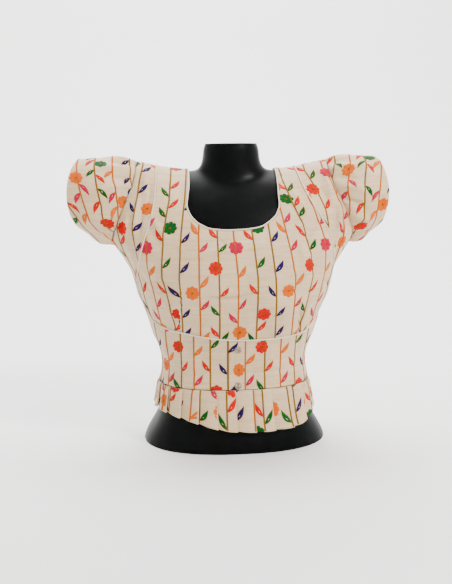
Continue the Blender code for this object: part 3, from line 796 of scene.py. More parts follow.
# %% [markdown]
# The stems run down the cloth at an even spacing, but on the body they bend: they follow the bust and are
# swallowed by the darts. The first table says how far round the body each of the front panel's stems lies
# at six levels, and the cloth between two stems is shared out evenly. A dart hides a little of the cloth.
# %% Flat places on the bodice
StemRow = namedtuple("StemRow", "path m5 m4 m3 m2 m1 middle p1 p2 p3 p4 p5")
FRONT_STEMS = (
    StemRow(180, -138, -107.4, -93.1, -62.5, -31.1, -1.4, 28.9, 60.9, 92.1, 111.1, 142),
    StemRow(263, -155.6, -128.1, -97.5, -64.2, -32.5, -1.7, 29.8, 58.6, 93.4, 130.9, 162),
    StemRow(339, -150, -120.3, -91.3, -63.2, -33.0, -6.9, 23.7, 52.0, 79.9, 112.6, 144),
    StemRow(401, -140, -109.2, -83.9, -57.0, -30.0, -4.0, 23.0, 47.0, 70.0, 92.5, 123.9),
    StemRow(455, -137, -105.8, -80.1, -54.0, -28.0, -3.0, 22.0, 45.0, 64.0, 82.1, 112.1),
    StemRow(489, -136, -104.0, -78.5, -53.0, -28.0, -3.0, 22.0, 47.0, 64.0, 80.0, 108.0),
)
Dart = namedtuple("Dart", "left_stem at")
FRONT_FIRST_STEM = -5
FRONT_DARTS = (Dart(-4, -98.0), Dart(3, 106.0))
DART_TOP = 236.0
DART_FADE = 45.0
FRONT_MIDDLE = math.pi / 2
BACK_MIDDLE = 1.5 * math.pi
# v plus path along the front panel: the pattern's phase on it
FRONT_PHASE = ((180, 435.4), (264, 439), (339, 440.5), (401, 450.7), (454, 470), (489, 485))
MIDRIFF_STEMS = (-128.0, -97.6, -74.3, -46.5, -17.7, 10.9, 44.2, 72.4, 103.1)
MIDRIFF_FIRST_STEM = -2
MIDRIFF_PHASE = 549.0
SIDE_PHASE = 582.0
SIDE_BLEND = (170.0, 320.0)
RIGHT_SIDE_STEM = ((330, -166), (369, -169), (398, -164), (451, -157), (480, -151))
LEFT_SIDE_STEM = ((330, 152), (371, 154), (395, 151), (441, 135), (472, 123))
SIDE_STEM_NUMBERS = {-1: -3, 1: 9}
BACK_STEM_OFFSET = 15.7


def spread(run, stems, first):
    """u for each place round the body, from the places of the stems, with even cloth past the last."""
    u = np.interp(run, stems, STEM_SPACING * (first + np.arange(len(stems))))
    u = np.where(run < stems[0], STEM_SPACING * first - (stems[0] - run), u)
    return np.where(run > stems[-1], STEM_SPACING * (first + len(stems) - 1) + run - stems[-1], u)


def flat_front(turn, path):
    run = body.run_from(turn, path, FRONT_MIDDLE)
    levels = [row.path for row in FRONT_STEMS]
    u = np.empty_like(run)
    for index in np.ndindex(run.shape):
        stems = [np.interp(path[index], levels, column) for column in list(zip(*FRONT_STEMS))[1:]]
        u[index] = spread(run[index], stems, FRONT_FIRST_STEM)
        for dart in FRONT_DARTS:
            number = dart.left_stem - FRONT_FIRST_STEM
            left, right = stems[number : number + 2]
            if left < run[index] < right:
                folded = STEM_SPACING * dart.left_stem + run[index] - left
                if run[index] > dart.at:
                    folded = STEM_SPACING * (dart.left_stem + 1) - (right - run[index])
                share = ease((DART_TOP + DART_FADE / 2 - path[index]) / DART_FADE)
                u[index] += share * (folded - u[index])
    levels, phases = zip(*FRONT_PHASE)
    return np.stack([u, np.interp(path, levels, phases) - path], -1)


def flat_side(turn, path, side):
    """Flat places on a side front: an upper part that follows a stem by the armhole, and the midriff."""
    run = body.run_from(turn, path, FRONT_MIDDLE)
    heights, xs = zip(*(RIGHT_SIDE_STEM if side < 0 else LEFT_SIDE_STEM))
    height = np.clip(body.height_at(path), heights[0], heights[-1])
    stem_turn = body.turn_at(np.interp(height, heights, xs), height)
    stem_run = body.run_from(stem_turn, body.path_at(height), FRONT_MIDDLE)
    upper = STEM_SPACING * SIDE_STEM_NUMBERS[side] + run - stem_run
    lower = spread(run, MIDRIFF_STEMS, MIDRIFF_FIRST_STEM)
    share = ease((path - SIDE_BLEND[0]) / (SIDE_BLEND[1] - SIDE_BLEND[0]))
    phase = MIDRIFF_PHASE + share * (SIDE_PHASE - MIDRIFF_PHASE)
    return np.stack([lower + share * (upper - lower), phase - path], -1)


def flat_back(turn, path):
    run = body.run_from(turn, path, BACK_MIDDLE)
    share = ease((path - SIDE_BLEND[0]) / (SIDE_BLEND[1] - SIDE_BLEND[0]))
    phase = MIDRIFF_PHASE + share * (SIDE_PHASE - MIDRIFF_PHASE)
    return np.stack([run + BACK_STEM_OFFSET, phase - path], -1)


# %% [markdown]
# The creases of the bodice, as the cloth shows them: two faint level ones across the bust where it was
# folded in a drawer, pulls from the bust to the armholes and the underarms, and short ones by the seams.
# The hidden sides get like ones, of other lengths and depths.
# %% Creases of the bodice
# start, middle and end are x and height in the front view; width and depth in millimetres
FRONT_CREASES = (
    Crease((-92, 314), (-40, 326), (28, 331), 4.0, -0.9),
    Crease((-92, 321), (-40, 333), (28, 338), 5.0, 0.8),
    Crease((-64, 262), (-12, 259), (40, 266), 3.6, -0.9),
    Crease((-64, 269), (-12, 266), (40, 273), 5.0, 0.8),
    Crease((58, 262), (92, 267), (122, 262), 4.0, -0.8),
    Crease((20, 304), (62, 300), (104, 306), 4.5, -0.6),
    Crease((98, 352), (106, 322), (108, 286), 6.0, 0.9),
    Crease((116, 350), (124, 318), (126, 284), 5.5, -0.8),
    Crease((-118, 330), (-124, 300), (-122, 270), 6.0, 0.8),
    Crease((-24, 346), (4, 343), (30, 348), 4.0, 0.7),
    Crease((-98, 236), (-97, 215), (-96, 200), 2.2, -1.5),
    Crease((104, 238), (104, 215), (103, 192), 2.2, -1.5),
    Crease((-100, 352), (-94, 340), (-88, 332), 4.0, 0.7),
    Crease((-146, 400), (-128, 372), (-112, 350), 6.0, 1.1),
    Crease((-150, 382), (-134, 356), (-118, 338), 5.0, -0.9),
    Crease((128, 404), (112, 380), (92, 352), 6.0, 1.2),
    Crease((140, 388), (122, 362), (104, 340), 5.5, -1.1),
    Crease((96, 440), (104, 415), (116, 392), 6.0, 0.9),
    Crease((86, 424), (92, 404), (104, 384), 5.0, -0.7),
    Crease((148, 356), (128, 332), (104, 316), 6.0, 0.9),
    Crease((-96, 440), (-100, 420), (-98, 396), 6.0, 0.7),
    Crease((40, 352), (30, 342), (14, 336), 3.5, 0.8),
    Crease((-34, 356), (-26, 348), (-16, 342), 3.0, -0.6),
    Crease((-150, 322), (-140, 300), (-134, 280), 5.0, 0.9),
    Crease((-158, 300), (-150, 280), (-140, 262), 4.0, -0.8),
    Crease((160, 300), (150, 276), (138, 256), 5.0, 0.9),
    Crease((-120, 250), (-110, 235), (-104, 220), 5.0, 0.8),
    Crease((126, 250), (116, 232), (110, 214), 5.0, 0.8),
    Crease((60, 232), (66, 214), (70, 198), 5.0, -0.5),
    Crease((-60, 230), (-66, 214), (-68, 198), 5.0, -0.5),
    Crease((10, 240), (16, 220), (14, 200), 6.0, 0.5),
)
SIDE_CREASES = (
    Crease((-158, 420), (-164, 390), (-168, 356), 5.0, 1.6),
    Crease((-150, 408), (-156, 380), (-160, 350), 4.0, -1.3),
    Crease((-146, 470), (-148, 446), (-150, 424), 5.0, 1.0),
    Crease((-140, 450), (-141, 425), (-146, 404), 3.5, -0.8),
    Crease((-176, 392), (-182, 372), (-186, 352), 5.0, 1.4),
    Crease((-172, 350), (-168, 328), (-166, 304), 5.0, -1.2),
    Crease((150, 470), (160, 440), (166, 410), 6.0, 1.4),
    Crease((140, 450), (152, 420), (160, 392), 5.0, -1.2),
    Crease((176, 410), (176, 385), (170, 356), 5.0, 1.5),
    Crease((168, 400), (168, 376), (164, 350), 4.0, -1.1),
    Crease((184, 372), (182, 354), (176, 336), 4.0, 1.2),
    Crease((178, 352), (172, 328), (170, 304), 5.0, -1.0),
    Crease((-120, 190), (-119, 165), (-118, 140), 6.0, 0.7),
    Crease((-60, 178), (-58, 160), (-60, 140), 7.0, -0.4),
    Crease((48, 178), (52, 160), (50, 142), 7.0, 0.4),
    Crease((100, 180), (104, 158), (103, 136), 5.0, -0.7),
    Crease((-96, 132), (-60, 127), (-26, 130), 5.0, -0.5),
    Crease((26, 132), (62, 128), (96, 131), 5.0, -0.5),
    Crease((118, 150), (96, 145), (76, 146), 4.0, 0.5),
)
BACK_CREASES = (
    Crease((130, 420), (104, 392), (78, 366), 7.0, 1.3),
    Crease((146, 396), (118, 370), (92, 346), 6.0, -1.1),
    Crease((-128, 424), (-106, 398), (-72, 372), 7.0, 1.2),
    Crease((-148, 398), (-122, 366), (-96, 350), 6.0, -1.2),
    Crease((-90, 210), (-30, 204), (40, 212), 6.0, 1.0),
    Crease((-70, 196), (-10, 190), (70, 198), 5.0, -1.0),
    Crease((-60, 176), (0, 170), (56, 177), 5.0, 0.8),
    Crease((20, 300), (40, 312), (80, 318), 6.0, 0.8),
    Crease((-24, 308), (-48, 320), (-86, 322), 6.0, 0.8),
    Crease((50, 436), (64, 420), (86, 410), 4.0, -0.8),
    Crease((-50, 436), (-62, 422), (-80, 412), 4.0, -0.7),
    Crease((150, 330), (140, 300), (128, 272), 6.0, 1.0),
    Crease((-152, 326), (-142, 296), (-126, 268), 6.0, 1.1),
    Crease((110, 160), (108, 138), (108, 116), 6.0, 0.7),
    Crease((-108, 162), (-110, 140), (-106, 118), 6.0, 0.7),
)
SEAM_ROLL = 0.8
SEAM_ROLL_WIDTH = 1.6
PUCKER = 0.35
PUCKER_WIDTH = 7.0
PUCKER_LENGTH = 13.0
UNEVEN = 0.12
UNEVEN_LENGTH = 60.0


def on_front(x, height):
    return body.surface(body.turn_at(x, height), body.path_at(height))


def on_back(x, height):
    return body.surface(2 * math.pi - body.turn_at(x, height), body.path_at(height))


def seam_relief(points, seed):
    """How far the cloth falls away at its seams, with small puckers beside them."""
    gap = edge_distance(points)
    roll = -SEAM_ROLL * np.exp(-((gap / SEAM_ROLL_WIDTH) ** 2))
    return roll + PUCKER * ripple(points, PUCKER_LENGTH, seed) * np.exp(-gap / PUCKER_WIDTH)


def drawn_in(points):
    """The grid with its edges moved half a seam gap towards its inside."""
    points = points.copy()
    for _ in range(2):
        for edge, inside in ((0, 1), (-1, -2)):
            way = points[inside] - points[edge]
            points[edge] += SEAM_GAP / 2 * way / np.linalg.norm(way, axis=-1, keepdims=True)
        points = points.swapaxes(0, 1)
    return points


def bodice_sheet(name, grid, flat, creases, place, seed, out=0.0):
    """A panel of the bodice on the body surface, creased and rolled in at its edges."""
    points = drawn_in(body.point(grid[..., 0], grid[..., 1], out))
    normals = body.normal(grid[..., 0], grid[..., 1])
    points = pressed(points, normals, creases, place)
    relief = seam_relief(points, seed) + UNEVEN * ripple(points, UNEVEN_LENGTH, seed + 1)
    points += normals * relief[..., None]
    return Sheet(name, points, grid_normals(points, normals), flat)


# %% [markdown]
# The centre front is a shield from both shoulders down to the seam under the bust, cut round the scoop of
# the neck. It is one piece, so its grid runs down one side of the neck, round the bottom and up again, and
# the stitches cross it without a break.
# %% Bodice panels
ACROSS_FRONT = 80
ACROSS_SIDE = 48
PLACKET_LEFT = -16.0
PLACKET_RIGHT = 13.0
PLACKET_OUT = 1.55
PLACKET_SHORT = 2.2
PLACKET_ROWS = 60
ACROSS_PLACKET = 20


def front_sheet():
    start = straight(neckline[0], piped_seam[0], ACROSS_FRONT)
    end = straight(neckline[-1], piped_seam[-1], ACROSS_FRONT)
    grid = patch(neckline, piped_seam, start, end)
    flat = flat_front(grid[..., 0], grid[..., 1])
    return bodice_sheet("front_panel_silk", grid, flat, FRONT_CREASES, on_front, 3)


def side_front_sheet(name, inner_edge, side_line, side, seed):
    """Shoulder, armhole and side in one with the midriff: it bends round the corner of the front panel."""
    middle = body.turn_at(FRONT_SEAM_X, WAIST_SEAM)
    waist = straight((side_line[-1, 0], waist_path), (middle, waist_path), BUST_SEAM_STEPS // 2)
    outer_edge = joined(side_line, waist)
    start = straight(inner_edge[0], outer_edge[0], ACROSS_SIDE)
    end = straight(inner_edge[-1], outer_edge[-1], ACROSS_SIDE)
    grid = patch(inner_edge, outer_edge, start, end)
    return bodice_sheet(name, grid, flat_side(grid[..., 0], grid[..., 1], side), SIDE_CREASES, on_front, seed)


def back_sheet(name, flip, seed):
    back_neck = seam_line(BACK_NECKLINE, BACK_NECK_STEPS)
    shoulder = straight(armhole[0], back_neck[0], SHOULDER_STEPS)
    top = behind(joined(shoulder, back_neck))
    edge = behind(left_side)[::-1]
    centre = straight((BACK_MIDDLE, waist_path), (BACK_MIDDLE, top[-1, 1]), SEAM_STEPS)
    hem = straight((2 * math.pi, waist_path), (BACK_MIDDLE, waist_path), len(top) - 1)
    grid = patch(edge, centre, hem, top)
    grid[..., 0] = np.minimum(grid[..., 0], 2 * math.pi - 1e-6)
    if flip:
        grid[..., 0] = 3 * math.pi - grid[..., 0]
    return bodice_sheet(name, grid, flat_back(grid[..., 0], grid[..., 1]), BACK_CREASES, on_back, seed)


def placket_sheet():
    """The strip that laps over the closing of the midriff."""
    top = body.path_at(BUST_SEAM_MIDDLE) - PLACKET_SHORT
    rows = straight(waist_path, top, PLACKET_ROWS)
    path, x = np.meshgrid(rows, straight(PLACKET_LEFT, PLACKET_RIGHT, ACROSS_PLACKET), indexing="ij")
    grid = np.stack([body.turn_at(x, body.height_at(path)), path], -1)
    flat = flat_side(grid[..., 0], path, 1)
    return bodice_sheet("placket_silk", grid, flat, SIDE_CREASES, on_front, 12, PLACKET_OUT)


middle = SEAM_STEPS + BUST_SEAM_STEPS // 2
right_part = piped_seam[: middle + 1]
left_part = piped_seam[middle:][::-1]
sheets = {
    "front_panel": front_sheet(),
    "side_front_right": side_front_sheet("side_front_right_silk", right_part, mirrored(left_side), -1, 5),
    "side_front_left": side_front_sheet("side_front_left_silk", left_part, left_side, 1, 6),
    "back_left": back_sheet("back_left_silk", False, 8),
    "back_right": back_sheet("back_right_silk", True, 9),
    "placket": placket_sheet(),
}
for node, sheet in sheets.items():
    width, length, area = sheet.cut()
    print(f"{node}: cut {width:.3f} x {length:.3f} m, {area:.4f} square metres")

# %% [markdown]
# The sleeve is a short tube set into the armhole and open at the cuff. The silk is stiff, so it stands
# away from the arm in a soft puff, with folds that start at the armhole and die out before the hem. Its
# cloth is turned so that the stems hang round the arm, tips down at the front.
# %% Sleeves
Cuff = namedtuple("Cuff", "x bulge height half_height")
RIGHT_CUFF = Cuff(259.0, 17.0, 425.0, 59.0)
LEFT_CUFF = Cuff(248.0, 14.0, 421.0, 63.0)
CUFF_HALF_DEPTH = 57.0
CUFF_BULGE_POWER = 1.5
SLEEVE_GAP = 0.2
SLEEVE_PUFF = 12.0
SLEEVE_PUFF_PEAK = 0.8
SLEEVE_PUFF_AT_TOP = 0.35
SLEEVE_LEAN = 0.75
SLEEVE_ROWS = 44
GATHER = 0.5
GATHER_LENGTH = 11.0
GATHER_WIDTH = 9.0
SLEEVE_UNEVEN = 0.3
SLEEVE_UNEVEN_LENGTH = 40.0
CUFF_STITCH_DEPTH = 0.3
CUFF_STITCH_AT = 11.0
CUFF_STITCH_WIDTH = 1.2
# The flat cloth by degrees round from the top: u at the armhole and at the cuff, and v, which is the
# same along the whole sleeve
SleeveRow = namedtuple("SleeveRow", "degrees armhole cuff v")
RIGHT_SLEEVE = (
    SleeveRow(0, 48, 156, 330),
    SleeveRow(20, 52, 160, 309),
    SleeveRow(40, 54, 165, 293),
    SleeveRow(55, 57, 171, 277),
    SleeveRow(83, 67.5, 181, 231),
    SleeveRow(106, 82, 189, 192),
    SleeveRow(120, 89, 197, 170),
    SleeveRow(134, 108, 206, 152),
    SleeveRow(147, 141, 210, 139),
    SleeveRow(160, 170, 212, 126),
    SleeveRow(180, 186, 215, 105),
)
LEFT_SLEEVE = (
    SleeveRow(0, 51, -54, 320),
    SleeveRow(12, 50, -58, 305),
    SleeveRow(31, 44, -62, 284),
    SleeveRow(45, 38, -67, 269),
    SleeveRow(62, 28, -74, 254),
    SleeveRow(86, 19, -82, 225),
    SleeveRow(106, 12, -86, 199),
    SleeveRow(124, -1, -87, 176),
    SleeveRow(134, -18, -85, 161),
    SleeveRow(145, -28, -86, 147),
    SleeveRow(158, -40, -88, 133),
    SleeveRow(180, -55, -92, 112),
)
BACK_EASE = 0.85
# start, middle and end are degrees round from the top, positive at the front, and the share of the way
# from the armhole to the cuff
SLEEVE_CREASES = (
    Crease((8, 0.0), (10, 0.3), (12, 0.62), 5.0, 1.6),
    Crease((22, 0.0), (24, 0.25), (28, 0.5), 4.0, -1.3),
    Crease((38, 0.0), (40, 0.3), (46, 0.66), 6.0, 1.5),
    Crease((56, 0.02), (60, 0.2), (66, 0.42), 4.5, -1.2),
    Crease((74, 0.0), (80, 0.3), (88, 0.58), 6.0, 1.4),
    Crease((96, 0.0), (104, 0.28), (112, 0.5), 5.0, -1.5),
    Crease((118, 0.0), (124, 0.34), (128, 0.7), 7.0, 1.8),
    Crease((140, 0.0), (146, 0.3), (150, 0.62), 6.0, -1.6),
    Crease((160, 0.02), (164, 0.36), (166, 0.72), 7.0, 1.5),
    Crease((-10, 0.0), (-12, 0.3), (-14, 0.55), 5.0, -1.2),
    Crease((-28, 0.0), (-30, 0.3), (-34, 0.64), 6.0, 1.5),
    Crease((-48, 0.02), (-52, 0.26), (-58, 0.48), 5.0, -1.3),
    Crease((-70, 0.0), (-76, 0.3), (-84, 0.66), 6.5, 1.5),
    Crease((-96, 0.0), (-102, 0.3), (-108, 0.56), 6.0, -1.5),
    Crease((-124, 0.0), (-130, 0.34), (-132, 0.68), 7.0, 1.7),
    Crease((-150, 0.0), (-154, 0.3), (-156, 0.6), 6.0, -1.4),
    Crease((30, 0.55), (50, 0.68), (74, 0.72), 8.0, 0.8),
    Crease((84, 0.74), (100, 0.84), (122, 0.82), 7.0, -0.8),
    Crease((-30, 0.6), (-54, 0.7), (-78, 0.68), 8.0, 0.8),
)


def sleeve_ring():
    """The armhole as a closed ring from the underarm, up the back, over the top and down the front."""
    back = behind(armhole)
    back[-1, 0] = 2 * math.pi
    return np.concatenate([back[::-1], armhole[1:]])


def sleeve_form(shape):
    """The uncreased sleeve of the left side from the armhole to the cuff, its normals and the angles."""
    ring = sleeve_ring()
    hole = body.point(ring[:, 0], ring[:, 1])
    hole[:, 0] += SEAM_GAP + SLEEVE_GAP
    hole[-1] = hole[0]
    around = np.arctan2(-hole[:, 1], hole[:, 2] - shape.height)
    around[0] = -math.pi
    around[-1] = math.pi
    cuff = np.stack(
        [
            shape.x + shape.bulge * np.abs(np.sin(around)) ** CUFF_BULGE_POWER,
            -CUFF_HALF_DEPTH * np.sin(around),
            shape.height + shape.half_height * np.cos(around),
        ],
        -1,
    )
    along = np.linspace(0, 1, SLEEVE_ROWS + 1)[:, None, None]
    out = np.stack([np.zeros(len(around)), -np.sin(around), np.cos(around) * SLEEVE_LEAN], -1)
    fullness = SLEEVE_PUFF_AT_TOP + (1 - SLEEVE_PUFF_AT_TOP) * np.abs(np.sin(around))[:, None]
    puff = SLEEVE_PUFF * np.sin(math.pi * along**SLEEVE_PUFF_PEAK) * fullness
    points = (1 - along) * hole + along * cuff + out * puff
    return points, grid_normals(points, np.broadcast_to(out, points.shape)), around


def between(grid, row, column):
    """A point of a grid between its points."""
    upper = int(min(row, len(grid) - 2))
    left = int(min(column, grid.shape[1] - 2))
    s = row - upper
    t = column - left
    first = (1 - s) * grid[upper, left] + s * grid[upper + 1, left]
    second = (1 - s) * grid[upper, left + 1] + s * grid[upper + 1, left + 1]
    return (1 - t) * first + t * second


def sleeve_relief(points, seed):
    """Gathers that fan out of the armhole, the roll of its seam, and the stitched line of the cuff's hem."""
    gap = np.linalg.norm(points - points[:1], axis=-1)
    hem_gap = np.linalg.norm(points - points[-1:], axis=-1)
    relief = -SEAM_ROLL * np.exp(-((gap / SEAM_ROLL_WIDTH) ** 2))
    relief += SLEEVE_UNEVEN * ripple(points, SLEEVE_UNEVEN_LENGTH, seed)
    relief += GATHER * ripple(points, GATHER_LENGTH, seed + 1) * np.exp(-gap / GATHER_WIDTH)
    return relief - CUFF_STITCH_DEPTH * np.exp(-(((hem_gap - CUFF_STITCH_AT) / CUFF_STITCH_WIDTH) ** 2))


def sleeve_flat(table, around):
    """Flat places on a sleeve, through its table; the back of it is eased in."""
    degrees = np.degrees(np.abs(around))
    angles, at_armhole, at_cuff, down = (np.array(column, float) for column in zip(*table))
    share = np.linspace(0, 1, SLEEVE_ROWS + 1)[:, None]
    u = (1 - share) * smooth(angles, at_armhole, degrees) + share * smooth(angles, at_cuff, degrees)
    v = down[0] + np.where(around < 0, -BACK_EASE, 1.0) * (smooth(angles, down, degrees) - down[0])
    return np.stack([u, np.broadcast_to(v, u.shape)], -1)


def sleeve_sheet(name, side, shape, table, seed):
    whole, normals, around = sleeve_form(shape)

    def on_sleeve(degrees, share):
        column = np.interp(math.radians(degrees), around, np.arange(len(around)))
        return between(whole, share * SLEEVE_ROWS, column)

    points = pressed(whole, normals, SLEEVE_CREASES, on_sleeve)
    points = points + normals * sleeve_relief(points, seed)[..., None]
    points[:, -1] = points[:, 0]
    normals = grid_normals(points, normals)
    seam_normals = unit(normals[:, 0] + normals[:, -1])
    normals[:, 0] = seam_normals
    normals[:, -1] = seam_normals
    if side < 0:
        points = points * (-1, 1, 1)
        normals = normals * (-1, 1, 1)
    return Sheet(name, points, normals, sleeve_flat(table, around))


sheets["sleeve_right"] = sleeve_sheet("sleeve_right_silk", -1, RIGHT_CUFF, RIGHT_SLEEVE, 21)
sheets["sleeve_left"] = sleeve_sheet("sleeve_left_silk", 1, LEFT_CUFF, LEFT_SLEEVE, 27)
print("sleeve cut", [round(value, 3) for value in sheets["sleeve_left"].cut()])

# %% [markdown]
# The peplum is one long strip folded into knife pleats that all turn the same way, then sewn to the waist.
# A pleat is a zigzag of three layers, so its section is drawn once and repeated. Lower down the layers
# part and the folds swing out a little, each by its own amount.
# %% Peplum
PLEATS = 24
PLEATS_RIGHT = 13
PLEAT_LAP = 7.0
LAP_EDGE_X = 24.0
LAYER_AT_SEAM = 1.5
LAYER_AT_HEM = 2.5
PEPLUM_TOP = 100.7
PEPLUM_THICKNESS = 0.8
PRESSED_AT_SEAM = 0.55
PRESSED_LEVEL = 0.16
SEAM_TUCK = 0.4
BACK_LAP = 8.5
BACK_LAP_FROM = 1.2
MOST_SWING = 1.6
MOST_LIFT = 1.3
SWING_POWER = 1.4
PAST_BACK_STEPS = 60
LEAST_RUN = 0.3
HemPoint = namedtuple("HemPoint", "turn height")
HEM = (
    HemPoint(0, 54.0),
    HemPoint(28, 48.0),
    HemPoint(48, 38.5),
    HemPoint(66, 37.5),
    HemPoint(82, 37.0),
    HemPoint(98, 40.5),
    HemPoint(107, 45.0),
    HemPoint(121, 52.0),
    HemPoint(137, 57.0),
    HemPoint(180, 60.0),
    HemPoint(225, 52.0),
    HemPoint(270, 46.0),
    HemPoint(315, 49.0),
    HemPoint(360, 54.0),
)
PEPLUM_ROWS = 26
PEPLUM_PHASE = 237.0
FACE_STEPS = 9
FOLD_STEPS = 5

waist_turns = np.linspace(1.5 * math.pi, -0.5 * math.pi, 1441)
waist_ring = body.point(waist_turns, body.path_at(PEPLUM_TOP))
waist_runs = np.concatenate([[0], np.cumsum(np.linalg.norm(np.diff(waist_ring, axis=0), axis=1))])
pleat_pitch = waist_runs[-1] / PLEATS
# The same runs and turns carried on past the centre back, for the last pleat to lap over the first
past_back = slice(1, PAST_BACK_STEPS)
around_runs = np.concatenate([waist_runs, waist_runs[-1] + waist_runs[past_back]])
around_turns = np.concatenate([1.5 * math.pi - waist_turns, 3.5 * math.pi - waist_turns[past_back]])


def pleat_section(first, last, layer):
    """Middle line of the pleated strip, as runs along the waist and heights above the innermost layer."""
    line = [(first * pleat_pitch - (PLEAT_LAP if first else 0.0), 0.0)]
    climb = np.linspace(0, 1, FACE_STEPS + 1)[1:]
    fold_turn = np.linspace(0, math.pi, FOLD_STEPS + 2)[1:-1]
    face_width = pleat_pitch - layer - PLEAT_LAP
    half = layer / 2
    for pleat in range(first, last):
        begin = pleat * pleat_pitch
        edge = begin + pleat_pitch
        fold = edge + PLEAT_LAP
        line += [(begin + PLEAT_LAP * t, 0.0) for t in (0.5, 1.0)]
        line += [(begin + PLEAT_LAP + face_width * t, 2 * layer * ease(t)) for t in climb]
        line += [(edge - layer + (PLEAT_LAP + layer) * t, 2 * layer) for t in np.linspace(0.33, 1, 3)]
        line += [(fold + half * math.sin(a), 3 * half + half * math.cos(a)) for a in fold_turn]
        line += [(fold - PLEAT_LAP * t, layer) for t in (0, 0.5, 1)]
        if pleat < last - 1:
            line += [(edge - half * math.sin(a), half + half * math.cos(a)) for a in fold_turn]
            line.append((edge, 0.0))
    return np.array(line)


def hem_height(turn):
    """Height of the peplum's hem at a turn, through the table, whose turns are in degrees."""
    turns, heights = zip(*HEM)
    return smooth(turns, heights, np.mod(np.degrees(turn), 360))


def peplum_row(face, shift, level, more):
    """Points of one side of the strip at a level from 0 at the seam to 1 at the hem."""
    run = np.maximum(face[:, 0] + shift, LEAST_RUN)
    run = run + BACK_LAP * ease((run - waist_runs[-1]) / pleat_pitch + BACK_LAP_FROM)
    turn = 1.5 * math.pi - np.interp(run, around_runs, around_turns)
    height = PEPLUM_TOP + (hem_height(turn) - PEPLUM_TOP) * level
    away = body.normal(turn, body.path_at(height))
    away[:, 2] = 0.0
    away = unit(away)
    opened = ease(level / PRESSED_LEVEL)
    rise = (face[:, 1] + PEPLUM_THICKNESS / 2) * (PRESSED_AT_SEAM + (1 - PRESSED_AT_SEAM) * opened)
    rise = rise - SEAM_TUCK * (1 - opened) + more
    return body.surface(turn, body.path_at(height)) + away * rise[:, None]


def peplum_sheet(name, first, last, start_u, seed):
    lap_edge = np.interp(-body.turn_at(LAP_EDGE_X, PEPLUM_TOP), -waist_turns, waist_runs)
    shift = lap_edge - (PLEATS_RIGHT * pleat_pitch + PLEAT_LAP)
    rng = np.random.default_rng(seed)
    swing = rng.uniform(-MOST_SWING, MOST_SWING, PLEATS + 1)
    lift = rng.uniform(0.0, MOST_LIFT, PLEATS + 1)
    outer = []
    inner = []
    for level in np.linspace(0, 1, PEPLUM_ROWS + 1):
        layer = LAYER_AT_SEAM + (LAYER_AT_HEM - LAYER_AT_SEAM) * level
        line = pleat_section(first, last, layer)
        number = np.clip((line[:, 0] / pleat_pitch).astype(int), 0, PLEATS)
        top_layer = line[:, 1] / (2 * layer)
        line[:, 0] += swing[number] * level**SWING_POWER * top_layer
        way = unit(np.gradient(line, axis=0))
        side = np.stack([-way[:, 1], way[:, 0]], -1) * PEPLUM_THICKNESS / 2
        more = lift[number] * level**2 * top_layer
        outer.append(peplum_row(line + side, shift, level, more))
        inner.append(peplum_row(line - side, shift, level, more))
    outer = np.array(outer)
    inner = np.array(inner)
    section = pleat_section(first, last, LAYER_AT_SEAM)
    across = np.concatenate([[0], np.cumsum(np.linalg.norm(np.diff(section, axis=0), axis=1))]) + start_u
    down = np.linspace(0, np.linalg.norm(outer[-1] - outer[0], axis=1).mean(), PEPLUM_ROWS + 1)
    flat = np.stack(np.broadcast_arrays(across[None], PEPLUM_PHASE + down[:, None]), -1)
    facing = unit(outer - inner)
    faces_out = np.broadcast_to(np.gradient(section[:, 0]) > 0, outer.shape[:2])
    return Sheet(name, outer, facing, flat, inner=inner, shown=faces_out)


# u of the cloth at the front lap: a little past a stem
lap_u = 3 * STEM_SPACING + 2.5
strip_right = pleat_section(0, PLEATS_RIGHT, LAYER_AT_SEAM)
strip_length = np.linalg.norm(np.diff(strip_right, axis=0), axis=1).sum()
right_u = lap_u - strip_length + PLEAT_LAP
sheets["peplum_right"] = peplum_sheet("peplum_right_silk", 0, PLEATS_RIGHT, right_u, 31)
sheets["peplum_left"] = peplum_sheet("peplum_left_silk", PLEATS_RIGHT, PLEATS, lap_u, 33)
print("pleat pitch", round(float(pleat_pitch), 1), "mm, strip", round(float(strip_length)), "mm")

cloth_pieces = {node: sewn_shell(sheet, silk) for node, sheet in sheets.items()}
for node, piece in cloth_pieces.items():
    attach(piece, "root")
    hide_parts(node)
print(sum(len(piece.data.polygons) for piece in cloth_pieces.values()), "cloth faces")

# %% [markdown]
# Machine embroidery is flat satin stitch in rayon, which shines along the thread, edged with a thin gold
# cord. Each shape is made flat as a low closed ribbon with a rounded top, with its own small map along
# and across the thread, and is kept until its place on the cloth is known.
# %% Thread
THREADS = {
    "red": linear(208, 0, 0),
    "pink": linear(196, 0, 62),
    "orange": linear(226, 98, 0),
    "green": linear(0, 80, 22),
    "navy": linear(26, 12, 72),
    "pale": linear(236, 214, 170),
    "gold": linear(158, 104, 12),
    "olive": linear(130, 90, 32),
    "copper": linear(186, 92, 16),
}
THREAD_NAMES = list(THREADS)
THREAD_SLANT = 0.8


